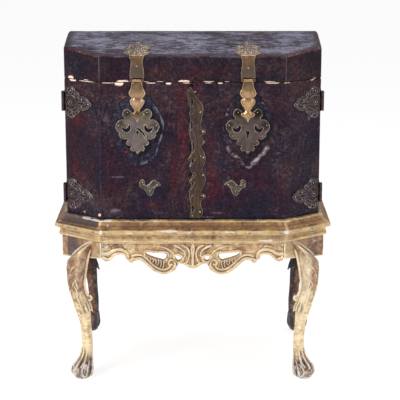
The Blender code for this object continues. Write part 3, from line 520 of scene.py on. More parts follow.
def leather(name, dark=1.0, scuff=(0.205, 0.150, 0.185)):
    """Old thin hide: dark aubergine, scuffed to red-brown, blue-black where polished, pale where it is rubbed through."""
    s = Shade(name)
    k = dark
    plum, wine, ink, brown = [tuple(c * k for c in rgb) for rgb in
                              ((0.0215, 0.0075, 0.0165), (0.0600, 0.0075, 0.0120), (0.0070, 0.0085, 0.0215), (0.0380, 0.0150, 0.0165))]
    big = s.noise(6.0, 5.0, 0.62, 0.8)
    mid = s.noise(30.0, 6.0, 0.68, 0.9)
    band = s.noise(1.0, 5.0, 0.64, 0.5, s.stretch(36.0, 36.0, 4.0))
    rub = s.noise(1.0, 6.0, 0.70, 0.4, s.stretch(150.0, 150.0, 22.0))
    upright = s.noise(1.0, 5.0, 0.70, 0.9, s.stretch(230.0, 230.0, 60.0))
    level = s.noise(1.0, 5.0, 0.70, 0.9, s.stretch(60.0, 60.0, 230.0))
    fleck = s.noise(230.0, 3.0, 0.6)
    col = s.mix(s.ramp(big, 0.40, 0.62), plum, brown)
    red = s.math("ADD", s.attr("red"), s.add(s.mul(s.add(mid, -0.5), 2.2), s.mul(s.add(band, -0.58), 2.0)), clamp=True)
    col = s.mix(s.mul(red, 0.80), col, wine)
    blue = s.math("ADD", s.attr("blue"), s.add(s.mul(s.add(mid, -0.5), -1.4), s.mul(s.add(rub, -0.5), 1.1)), clamp=True)
    col = s.mix(s.mul(blue, 0.82), col, ink)
    # the hide's open grain, up and down and across
    weave = s.ramp(s.add(s.add(upright, level), s.mul(fleck, 0.5)), 1.02, 1.52, 0.38, 1.95)
    col = s.mix(1.0, col, weave, "MULTIPLY")
    # dull pale scuffs, small flecks
    mottle = s.ramp(s.add(s.noise(95.0, 6.0, 0.74, 0.5), s.mul(s.add(big, -0.5), 0.5)), 0.50, 0.72)
    col = s.mix(s.mul(mottle, 0.60), col, tuple(c * 0.50 for c in scuff))
    pale = s.ramp(s.add(s.attr("pale"), s.mul(s.add(rub, -0.5), 1.3)), 0.26, 0.92)
    col = s.mix(s.mul(pale, 0.80), col, scuff)
    # pale above 1 turns near white: a painted highlight on the shields' rims and on the curled lip
    col = s.mix(s.mul(s.ramp(s.add(s.attr("pale"), s.mul(s.add(fleck, -0.5), 0.6)), 1.05, 1.45), 0.75), col, (0.44, 0.40, 0.47))
    spots = s.mul(s.ramp(fleck, 0.63, 0.73), s.ramp(s.noise(16.0, 4.0, 0.6), 0.46, 0.62))
    col = s.mix(s.mul(spots, 0.60), col, (0.36, 0.19, 0.16))
    # dim darkens towards black: a loose mottle and a darker lid band, and painted shadow round the lock plates, along
    # the shields' edges and under the curled lip
    col = s.mix(s.mul(s.attr("dim"), 0.88), col, (0.0030, 0.0026, 0.0045))
    # painted bluish sheen on the lid's top and its rolled edge, streaked along its length like dried, crazed hide, with
    # paler painted glints
    top_sheen = s.noise(1.0, 6.0, 0.72, 0.6, s.stretch(15.0, 165.0, 90.0))
    top_sheen = s.mul(s.attr("top"), s.ramp(s.add(top_sheen, s.add(s.mul(s.add(mid, -0.5), 0.5), s.mul(s.add(big, -0.5), 0.6))), 0.43, 0.62))
    col = s.mix(s.mul(top_sheen, 0.90), col, (0.172, 0.166, 0.240))
    col = s.mix(s.mul(s.mul(top_sheen, s.ramp(s.add(fleck, s.mul(s.add(level, -0.5), 0.8)), 0.54, 0.72)), 0.55), col, (0.40, 0.39, 0.47))
    # edges rubbed to tan, and places where the hide has gone down to the pale ground
    wear = s.add(s.attr("wear"), s.mul(s.add(s.noise(120.0, 5.0, 0.7, 0.5), -0.5), 1.5))
    tan = s.ramp(wear, 0.52, 0.86)
    col = s.mix(s.mul(tan, 0.80), col, (0.285, 0.105, 0.070))
    chip = s.add(s.attr("chip"), s.mul(s.add(s.noise(190.0, 4.0, 0.65, 0.4), -0.5), 0.8))
    bare = s.ramp(chip, 0.46, 0.56)
    ring = s.ramp(chip, 0.26, 0.46)
    col = s.mix(s.mul(ring, 0.75), col, (0.255, 0.075, 0.042))
    col = s.mix(bare, col, s.mix(s.noise(90.0, 3.0), (0.84, 0.62, 0.48), (0.95, 0.84, 0.74)))
    # near black in the lid's splits, and painted shadow behind the slits of the meeting strap
    crack_and_shadow = s.ramp(s.attr("crack_and_shadow"), 0.25, 0.75)
    col = s.mix(crack_and_shadow, col, (0.004, 0.003, 0.004))
    rough = s.add(s.ramp(s.noise(30.0, 4.0, 0.6), 0.35, 0.70, 0.36, 0.58), s.mul(s.math("MAXIMUM", tan, bare), 0.25))
    nrm = s.bump(s.add(s.mul(s.cells(520.0, "SMOOTH_F1"), 0.5), s.add(upright, level)), 0.0010, 0.60)
    nrm = s.bump(s.add(s.noise(70.0, 4.0, 0.6, 0.6), s.mul(s.noise(24.0, 3.0), 1.4)), 0.0030, 0.50, nrm)
    nrm = s.bump(s.mul(bare, -1.0), 0.0008, 0.8, nrm)
    s.set(Base_Color=col, Roughness=rough, Normal=nrm)
    s.b.inputs["Specular IOR Level"].default_value = 0.11
    return s.m


def metal(name, base, worn, dark, rough=(0.34, 0.52), amount=0.5, grime=0.6):
    """Old brass, bronze or iron: patina in the hollows, rubbed bright on the edges and the high parts."""
    s = Shade(name)
    cloud = s.noise(34.0, 6.0, 0.66, 0.7)
    fine = s.noise(330.0, 4.0, 0.6)
    drift = s.ramp(s.noise(19.0, 4.0, 0.6, 0.4), 0.42, 0.58)
    olive, rosy = [tuple(c * k for c, k in zip(base, tint)) for tint in ((1.10, 1.00, 0.74), (1.04, 0.92, 1.12))]
    col = s.mix(drift, olive, rosy)
    col = s.mix(s.mul(s.ramp(cloud, 0.36, 0.66), 0.9), col, tuple(c * 0.62 for c in base))
    col = s.mix(s.mul(s.attr("grime"), s.ramp(s.noise(60.0, 5.0, 0.65), 0.15, 0.62, 0.75, 1.0)), col, dark)
    hollow = s.ramp(s.add(s.attr("broad"), s.mul(s.add(fine, -0.5), 0.25)), -0.03, -0.22)
    col = s.mix(s.mul(hollow, grime), col, dark)
    high = s.ramp(s.add(s.attr("fine"), s.mul(s.add(s.noise(140.0, 4.0, 0.6), -0.5), 0.14)), 0.050, 0.170)
    col = s.mix(s.mul(s.mul(high, s.ramp(s.noise(85.0, 4.0, 0.7), 0.38, 0.64, 0.12, 1.0)), amount), col, worn)
    blot = s.ramp(s.noise(75.0, 5.0, 0.7, 0.4), 0.58, 0.74)
    col = s.mix(s.mul(blot, grime * 0.7), col, dark)
    r = s.add(s.ramp(fine, 0.3, 0.7, rough[0], rough[1]), s.mul(blot, 0.14))
    nrm = s.bump(s.add(s.noise(1.0, 4.0, 0.6, 0.3, s.stretch(160.0, 160.0, 420.0)), s.mul(s.noise(60.0, 3.0), 1.5)), 0.0006, 0.45)
    s.set(Base_Color=col, Roughness=r, Normal=nrm)
    s.b.inputs["Metallic"].default_value = 0.92
    return s.m


def gilding(name, gold=(0.58, 0.345, 0.150), pale=(0.86, 0.67, 0.44), bole=(0.230, 0.082, 0.034), shade=1.0, gesso=0.35, gloom=0.0, under=(0.135, 0.041, 0.017), edge=0.62, cuts=0.52,
            speck=0.35, chalk=0.8, tan=(0.370, 0.178, 0.082)):
    """Water gilding over red bole and gesso, rubbed on the high parts, darkened in the hollows and cuts by dirt and
    painted shade; shade and gloom make a darker copy, painted shade.
    """
    s = Shade(name)
    gold, pale, bole = [tuple(c * shade for c in rgb) for rgb in (gold, pale, bole)]
    cloud = s.noise(17.0, 6.0, 0.66, 0.8)
    streak = s.noise(1.0, 6.0, 0.68, 0.5, s.stretch(26.0, 40.0, 95.0))
    fine = s.noise(190.0, 5.0, 0.7, 0.3)
    col = s.mix(s.ramp(streak, 0.36, 0.64), gold, pale)
    patch = s.noise(48.0, 6.0, 0.72, 0.7)
    tone = s.math("ADD", s.attr("tone"), s.mul(s.add(s.add(streak, patch), -1.0), s.mul(s.attr("tone"), 1.8)), clamp=True)
    brown = s.mix(s.ramp(patch, 0.40, 0.62), tuple(c * shade for c in tan), (0.125 * shade, 0.050 * shade, 0.028 * shade))
    col = s.mix(s.mul(tone, 0.88), col, brown)
    lost = s.ramp(s.add(cloud, s.mul(s.add(fine, -0.5), 0.50)), 0.50, 0.64)
    col = s.mix(s.mul(lost, 0.66), col, bole)
    # the broad hollows and the tight cuts darken towards dark bole: dirt and painted shade
    deep = s.ramp(s.add(s.attr("broad"), s.mul(s.add(fine, -0.5), 0.8)), -0.10, -1.1)
    col = s.mix(s.mul(deep, 0.45), col, tuple(c * 0.55 for c in bole))
    tight = s.ramp(s.add(s.attr("fine"), s.mul(s.add(fine, -0.5), 0.10)), -0.05, -0.30)
    col = s.mix(s.mul(tight, cuts), col, tuple(c * 0.45 for c in bole))
    ridge = s.ramp(s.add(s.attr("fine"), s.mul(s.add(fine, -0.5), 0.22)), 0.04, 0.22)
    col = s.mix(s.mul(ridge, edge), col, pale)
    specks = s.mul(s.ramp(s.noise(150.0, 5.0, 0.72, 0.5), 0.54, 0.66), s.ramp(s.noise(30.0, 4.0, 0.6), 0.40, 0.62))
    col = s.mix(s.mul(specks, speck), col, tuple(c * 0.40 for c in bole))
    col = s.mix(s.mul(s.attr("bright"), s.ramp(patch, 0.36, 0.58, 0.95, 0.45)), col, (0.93 * shade, 0.82 * shade, 0.62 * shade))
    # soot turns the colour near black, paler on ridges by chalk: dirt on the feet, painted shade in most other places
    soot = s.math("ADD", s.attr("soot"), s.mul(s.add(s.noise(26.0, 5.0, 0.68), -0.5), 0.9), clamp=True)
    soot = s.mul(s.ramp(soot, 0.30, 0.75), 0.88)
    col = s.mix(soot, col, s.mix(s.mul(ridge, chalk), (0.062, 0.043, 0.050), (0.53, 0.46, 0.48)))
    # gloom darkens the whole piece towards a dark under-colour, painted shade for parts that stand in shade
    if gloom:
        col = s.mix(s.mul(s.ramp(cloud, 0.36, 0.62, 0.80, 1.15), gloom), col, s.mix(s.ramp(streak, 0.38, 0.62), under, tuple(c * 0.35 for c in under)))
        col = s.mix(s.mul(soot, 0.95), col, (0.012, 0.011, 0.021))
    gone = s.ramp(s.add(s.add(s.noise(44.0, 6.0, 0.72, 0.6), s.mul(s.attr("gesso"), 0.5)), s.mul(ridge, 0.06)), 0.65, 0.69)
    col = s.mix(s.mul(gone, gesso + 0.35), col, (0.86, 0.78, 0.70))
    metal_part = s.mul(s.math("SUBTRACT", 1.0, s.math("MAXIMUM", s.math("MAXIMUM", lost, gone), s.math("MAXIMUM", deep, soot)), clamp=True), 0.42)
    rough = s.add(s.ramp(fine, 0.3, 0.7, 0.36, 0.54), s.mul(s.math("MAXIMUM", lost, gone), 0.20))
    nrm = s.bump(s.add(s.noise(1.0, 5.0, 0.65, 0.4, s.stretch(60.0, 60.0, 160.0)), s.mul(lost, -0.6)), 0.0014, 0.55)
    nrm = s.bump(s.mul(gone, -1.0), 0.0008, 0.9, nrm)
    s.set(Base_Color=col, Roughness=rough, Metallic=metal_part, Normal=nrm)
    return s.m


def timber(name, light=(0.235, 0.128, 0.060), dark=(0.105, 0.050, 0.022), along="z"):
    """Bare old softwood with long grain."""
    s = Shade(name)
    k = {"x": (3.5, 90.0, 90.0), "y": (90.0, 3.5, 90.0), "z": (90.0, 90.0, 3.5)}[along]
    grain = s.noise(1.0, 6.0, 0.62, 0.9, s.stretch(*k))
    rings = s.noise(0.25, 3.0, 0.5, 2.0, s.stretch(*k))
    col = s.mix(s.ramp(grain, 0.36, 0.66), light, dark)
    col = s.mix(s.mul(s.ramp(rings, 0.45, 0.60), 0.45), col, tuple(c * 0.62 for c in dark))
    col = s.mix(s.mul(s.ramp(s.noise(9.0, 5.0, 0.65), 0.52, 0.70), 0.45), col, (0.045, 0.026, 0.016))
    rough = s.ramp(grain, 0.3, 0.7, 0.55, 0.75)
    nrm = s.bump(s.add(grain, s.mul(s.noise(1.0, 4.0, 0.7, 0.2, s.stretch(*[x * 4 for x in k])), 0.5)), 0.0009, 0.55)
    s.set(Base_Color=col, Roughness=rough, Normal=nrm)
    return s.m


M_LEATHER = leather("hide")
M_PATCH = leather("patch_hide", 1.0, (0.140, 0.155, 0.208))
M_TORN = leather("torn_hide", 0.85, (0.205, 0.160, 0.195))
M_PLATE = metal("brass_plate", (0.195, 0.168, 0.148), (0.58, 0.51, 0.42), (0.034, 0.027, 0.018), (0.36, 0.52), 0.62, 0.55)
M_PLATE_DARK = metal("brass_plate_dark", (0.138, 0.108, 0.092), (0.55, 0.46, 0.37), (0.018, 0.013, 0.011), (0.36, 0.52), 0.55, 0.60)
M_MEET = metal("brass_meeting", (0.112, 0.078, 0.062), (0.42, 0.34, 0.26), (0.020, 0.015, 0.012), (0.36, 0.52), 0.55, 0.55)
M_STRAP = metal("brass_strap", (0.208, 0.130, 0.064), (0.53, 0.46, 0.42), (0.100, 0.082, 0.062), (0.30, 0.46), 0.50, 0.45)
M_HASP = metal("brass_hasp", (0.600, 0.395, 0.225), (0.90, 0.76, 0.56), (0.110, 0.070, 0.040), (0.24, 0.38), 0.60, 0.30)
M_BRONZE = metal("dark_bronze", (0.084, 0.064, 0.066), (0.40, 0.33, 0.32), (0.016, 0.012, 0.014), (0.34, 0.52), 0.45, 0.60)
M_IRON = metal("forged_iron", (0.055, 0.050, 0.047), (0.21, 0.20, 0.185), (0.030, 0.015, 0.008), (0.42, 0.62), 0.65, 0.60)
M_NAIL = metal("nail_brass", (0.62, 0.53, 0.40), (0.95, 0.90, 0.80), (0.12, 0.09, 0.05), (0.18, 0.30), 0.70, 0.25)
M_GILT = gilding("worn_gilding", gold=(0.56, 0.345, 0.140), pale=(0.85, 0.68, 0.43), edge=0.42, cuts=0.50, speck=0.60, chalk=0.25)
M_GILT_MOULD = gilding("moulding_gilding", gold=(0.47, 0.275, 0.078), pale=(0.79, 0.58, 0.28), edge=0.50, cuts=0.80, speck=0.75, chalk=0.10)
M_GILT_LEG = gilding("leg_gilding", gold=(0.70, 0.485, 0.245), pale=(0.95, 0.82, 0.55), gesso=0.30, tan=(0.385, 0.185, 0.112))
# a darkened copy of the gilding for the rear legs: painted shade
M_GILT_REAR_SHADED = gilding("rear_gilding_in_shade", shade=0.24, gesso=-0.25, gloom=0.95, under=(0.165, 0.046, 0.018))
M_WOOD_Z = timber("carcass_upright", along="z")
M_WOOD_X = timber("carcass_long", along="x")
M_WOOD_BACK = timber("rail_timber", (0.150, 0.078, 0.036), (0.060, 0.030, 0.014), "x")


def own(ob, body, slot, *nodes):
    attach(ob, body)
    if nodes:
        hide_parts(*nodes)
    return ob


def mm(points):
    return np.asarray(points, float) / 1000.0


def blobs(P3, items):
    """Soft spots (x, y, z, half width, half height, strength)."""
    out = np.zeros(len(P3))
    for x, y, z, rx, rz, k in items:
        q = ((P3[:, 0] - x) / rx) ** 2 + ((P3[:, 1] - y) / max(rx, 0.03)) ** 2 + ((P3[:, 2] - z) / rz) ** 2
        out = np.maximum(out, k * np.exp(-q))
    return out


def gauss(x, c, w):
    return np.exp(-((x - c) / w) ** 2)


# ---------------------------------------------------------------- hide
def rounded_path(pts, r, pitch, closed=False, arc=6, breaks=()):
    """Points, outward normals and corner weights along an anticlockwise line in plan, its corners rounded."""
    pts = [np.array(p, float) for p in pts]
    n = len(pts)
    P, N, C = [], [], []

    def unit(v):
        return v / np.linalg.norm(v)

    def cut(i):
        if not closed and i in (0, n - 1):
            return 0.0
        d1, d2 = unit(pts[i] - pts[i - 1]), unit(pts[(i + 1) % n] - pts[i])
        return r * math.tan(math.acos(max(-1.0, min(1.0, float(d1 @ d2)))) / 2)

    for i in range(n if closed else n - 1):
        a, b = pts[i], pts[(i + 1) % n]
        j = (i + 1) % n
        ln = np.linalg.norm(b - a)
        d = unit(b - a)
        nr = np.array([d[1], -d[0]])
        s0, s1 = cut(i), ln - cut(j)
        ss = list(np.linspace(s0, s1, max(1, round((s1 - s0) / pitch)) + 1))
        if not closed and i == 0:
            ss += [s0 + e for e in (0.0006, 0.0014, 0.0026)]
        if not closed and i == n - 2:
            ss += [s1 - e for e in (0.0006, 0.0014, 0.0026)]
        for bx in breaks:
            if abs(d[1]) < 1e-9:
                s = (bx - a[0]) / d[0]
                if s0 < s < s1:
                    ss.append(s)
        last = -1.0
        for s in sorted(ss):
            if s - last > 1e-5:
                P.append(a + d * s)
                N.append(nr)
                C.append(0.0)
                last = s
        if closed or j != n - 1:
            d2 = unit(pts[(j + 1) % n] - b)
            n2 = np.array([d2[1], -d2[0]])
            centre = b - d * cut(j) - nr * r
            a0, a1 = math.atan2(nr[1], nr[0]), math.atan2(n2[1], n2[0])
            while a1 < a0:
                a1 += 2 * math.pi
            for q in range(1, arc):
                w = a0 + (a1 - a0) * q / arc
                v = np.array([math.cos(w), math.sin(w)])
                P.append(centre + r * v)
                N.append(v)
                C.append(math.sin(math.pi * q / arc))
    return np.array(P), np.array(N), np.array(C)


def rows_between(z0, z1, pitch, breaks=()):
    zs = list(np.linspace(z0, z1, round((z1 - z0) / pitch) + 1)) + [z0 + e for e in (0.0006, 0.0014, 0.0026)]
    zs = sorted(zs + [z1 - e for e in (0.0006, 0.0014, 0.0026)] + list(breaks))
    out = [zs[0]]
    for z in zs[1:]:
        if z - out[-1] > 1e-5:
            out.append(z)
    return np.array(out)


# bare spots along the seam: centre, half width, height, strength
LID_CHIPS = [(-0.221, 0.021, 0.0060, 1.0), (-0.027, 0.020, 0.0062, 1.0), (-0.102, 0.013, 0.0030, 0.75), (-0.150, 0.014, 0.0026, 0.70), (-0.392, 0.010, 0.0100, 1.0),
             (-0.340, 0.011, 0.0040, 0.75), (0.052, 0.020, 0.0032, 0.80), (0.246, 0.022, 0.0028, 0.75), (0.392, 0.006, 0.0040, 0.75), (0.110, 0.010, 0.0026, 0.70)]
DOOR_CHIPS = [(-0.233, 0.015, 0.0110, 1.0), (-0.076, 0.009, 0.0075, 1.0), (-0.268, 0.022, 0.0030, 0.80), (-0.131, 0.018, 0.0036, 0.85), (-0.385, 0.012, 0.0062, 1.0),
              (-0.340, 0.030, 0.0028, 0.78), (-0.020, 0.014, 0.0034, 0.80), (0.088, 0.009, 0.0050, 0.80), (0.253, 0.026, 0.0036, 0.85), (0.300, 0.012, 0.0030, 0.75),
              (0.050, 0.012, 0.0030, 0.75), (0.385, 0.008, 0.0040, 0.70)]
# places on the front where the hide has turned red, blue-black or pale: x, y, z, half width, half height, strength
F, K = -0.280, -0.215
RED = [(-0.034, F, 0.80, 0.016, 0.16, 0.75), (-0.060, F, 0.72, 0.020, 0.10, 0.45), (-0.366, K, 0.868, 0.020, 0.020, 1.1), (-0.346, K, 0.940, 0.018, 0.016, 1.0),
       (-0.330, K, 0.655, 0.020, 0.018, 1.0), (0.060, F, 0.68, 0.014, 0.09, 0.85), (-0.130, F, 0.605, 0.040, 0.014, 0.55), (-0.375, K, 0.705, 0.012, 0.022, 0.7),
       (-0.250, F, 0.66, 0.050, 0.060, 0.35), (0.165, F, 0.70, 0.060, 0.030, 0.35), (0.080, F, 1.03, 0.060, 0.020, 0.4), (-0.110, F, 1.03, 0.050, 0.020, 0.45),
       (0.330, K, 1.02, 0.040, 0.020, 0.4), (0.030, F, 0.62, 0.020, 0.050, 0.5), (0.225, F, 0.665, 0.020, 0.018, 0.45)]
BLUE = [(-0.335, K, 0.840, 0.020, 0.060, 0.9), (-0.300, F, 0.700, 0.016, 0.100, 0.6), (0.085, F, 0.605, 0.040, 0.018, 0.8), (0.365, K, 0.780, 0.030, 0.120, 0.55),
        (0.330, K, 0.680, 0.020, 0.060, 0.6), (-0.360, K, 1.035, 0.050, 0.020, 0.7), (0.100, F, 0.780, 0.020, 0.060, 0.5), (0.240, F, 0.600, 0.040, 0.015, 0.6),
        (-0.120, F, 1.00, 0.050, 0.010, 0.5), (0.250, F, 1.01, 0.030, 0.014, 0.5)]
PALE = [(-0.248, F, 0.582, 0.022, 0.008, 0.95), (-0.240, F, 0.693, 0.034, 0.004, 0.65), (-0.274, F, 0.880, 0.022, 0.034, 0.42), (0.078, F, 0.574, 0.030, 0.004, 0.6),
        (-0.105, F, 0.574, 0.030, 0.006, 0.5), (0.375, K, 0.875, 0.010, 0.016, 0.6), (-0.375, K, 0.583, 0.010, 0.008, 0.8), (0.300, F, 0.70, 0.006, 0.10, 0.35),
        (0.275, F, 0.772, 0.012, 0.003, 0.7), (0.115, F, 0.690, 0.008, 0.014, 0.6), (0.052, F, 0.560, 0.030, 0.004, 0.6), (-0.045, F, 0.574, 0.020, 0.004, 0.4)]
LOW_CHIPS = [(-0.352, K, 0.5680, 0.008, 0.006, 0.85), (-0.302, F, 0.5660, 0.007, 0.009, 0.70), (-0.318, F, 0.955, 0.003, 0.008, 0.70), (-0.305, F, 0.945, 0.002, 0.005, 0.6),
             (-0.212, F, 0.952, 0.003, 0.006, 0.55), (0.352, K, 0.566, 0.006, 0.004, 0.55), (-0.150, F, 0.950, 0.0025, 0.003, 0.5)]


# tan scuffs round the hasps and shields
TAN = [(-0.223, F, 0.958, 0.020, 0.024, 0.62), (0.122, F, 0.962, 0.022, 0.022, 0.60), (0.216, F, 0.963, 0.018, 0.022, 0.58), (-0.105, F, 0.905, 0.014, 0.032, 0.52),
       (-0.262, F, 0.905, 0.014, 0.030, 0.42), (0.250, F, 0.930, 0.010, 0.020, 0.42), (0.100, F, 0.930, 0.012, 0.022, 0.42), (-0.150, F, 0.975, 0.040, 0.010, 0.45)]
# painted shadow behind the slits where the strap over the meeting edge is pierced: x, z, half width, half height in
# millimetres
SLIT_SHADOWS = [(-5, 936, 5, 15), (-6, 862, 6, 16), (-6, 793, 6, 26), (-3, 745, 6, 12), (-5, 701, 6, 11), (-3, 674, 5, 8), (-3, 588, 6, 18), (-4, 989, 9, 6)]


def hide_marks(P3, corner, edge, lid=False):
    """Wear, bare spots and tones of the hide at points, from their distance to an edge."""
    n1 = fbm(P3, 0.060, 3, 5)
    wear = np.maximum(0.62 * corner, 0.46 * np.exp(-(edge / 0.0030) ** 2)) + 0.16 * n1 + blobs(P3, TAN)
    near = (P3[:, 1] < YC - 0.004).astype(float)
    up = P3[:, 2] - (Z_LID0 if lid else WALL_TOP)
    chip = np.zeros(len(P3))
    for x, w, hz, k in (LID_CHIPS if lid else DOOR_CHIPS):
        chip = np.maximum(chip, near * k * np.exp(-((P3[:, 0] - x) / w) ** 4 - (up / hz) ** 2))
    chip = np.maximum(chip, blobs(P3, LOW_CHIPS))
    bottom = gauss(P3[:, 2], DOOR_Z0, 0.020) * near
    red = np.clip(0.12 + 0.70 * fbm(P3, 0.110, 3, 21) + blobs(P3, RED) - 0.5 * bottom, 0, 1.2)
    blue = np.clip(0.34 + 0.75 * fbm(P3, 0.090, 3, 33) + blobs(P3, BLUE) - 0.9 * blobs(P3, RED) + 0.6 * bottom, 0, 1.2)
    pale = np.clip(0.12 * fbm(P3, 0.05, 3, 35) + blobs(P3, PALE), 0, 1)
    return {"wear": wear, "chip": chip, "red": red, "blue": blue, "pale": pale, "dim": np.clip((0.36 if lid else 0.0) + 0.30 * fbm(P3, 0.07, 3, 36), 0, 0.6), "crack_and_shadow": blobs(P3, [(x / 1000, YF, z / 1000, w / 1000, t / 1000, 1.0) for x, z, w, t in SLIT_SHADOWS])}


def sheet(name, pts, z0, z1, body, node, pitch, pocket=None):
    x0, x1, h0, h1 = pocket or (9, 9, 9, 9)
    P, N, C = rounded_path(pts, 0.007, pitch, False, 6, (x0, x1) if pocket else ())
    zs = rows_between(z0, z1, pitch, (h0, h1) if pocket else ())
    n, m = len(P), len(zs)
    seg = np.linalg.norm(np.diff(P, axis=0), axis=1)
    s = np.concatenate([[0], np.cumsum(seg)])
    PX = np.repeat(P, m, 0)
    Z = np.tile(zs, n)
    P3 = np.column_stack([PX, Z])
    ez = np.minimum(Z - z0, z1 - Z)
    es = np.repeat(np.minimum(s, s[-1] - s), m)
    edge = np.minimum(ez, es)
    push = -0.0003 + 0.00034 * fbm(P3, 0.105, 3, 3) + 0.00016 * fbm(P3, 0.018, 2, 4) + 0.00022 * gauss(ez, 0.012, 0.006)
    push = np.minimum(push, 0.0001) - 0.0011 * np.clip(1 - edge / 0.0028, 0, 1) ** 2
    marks = hide_marks(P3, np.repeat(C, m), edge)
    push = push - 0.0005 * step(marks["chip"], 0.40, 0.60)
    V = P3.copy()
    V[:, :2] += np.repeat(N, m, 0) * push[:, None]
    faces = []
    for i in range(n - 1):
        xm = (P[i, 0] + P[i + 1, 0]) / 2
        front = P[i, 1] < YF + 1e-6 and P[i + 1, 1] < YF + 1e-6
        for j in range(m - 1):
            if pocket and front and x0 < xm < x1 and h0 < (zs[j] + zs[j + 1]) / 2 < h1:
                continue
            a = i * m + j
            faces.append((a, a + m, a + m + 1, a + 1))
    ob = add_object(name, V, faces, M_LEATHER, marks)
    mod = ob.modifiers.new("thickness", "SOLIDIFY")
    mod.thickness = 0.0019
    mod.offset = -1.0
    return own(ob, body, "leather", node)


e_out = (B - CU[0] * MEET, YC - CU[1] * MEET)
for side, word in ((-1, "left"), (1, "right")):
    pts = [(MEET, YF), (A, YF), e_out] if side > 0 else [(-e_out[0], e_out[1]), (-A, YF), (-MEET, YF)]
    cx = side * LOCK_X
    sheet(word + "_door_hide", pts, DOOR_Z0, WALL_TOP, word + "_door", word + "_door_leather", 0.0032,
          pocket=(cx - 0.0243, cx + 0.0243, LOCK_Z - 0.0363, LOCK_Z + 0.0683))
sheet("trunk_hide", [(B, YC + MEET), (B, YB), (-B, YB), (-B, YC + MEET)], Z_BASE, WALL_TOP, "trunk", "trunk_leather", 0.0055)

# lid: a band round it, a rolled edge and the domed top with two splits in the hide
EDGE_R = 0.0060
PLAN = [(-A, YF), (A, YF), (B, YC), (B, YB), (-B, YB), (-B, YC)]
SPLITS = [[(-0.408, -0.1186), (-0.384, -0.1132), (-0.3518, -0.1077), (-0.3228, -0.1022), (-0.300, -0.0985)],
          [(-0.3079, -0.1771), (-0.2863, -0.1614), (-0.2608, -0.1561), (-0.242, -0.1455), (-0.225, -0.1430)]]


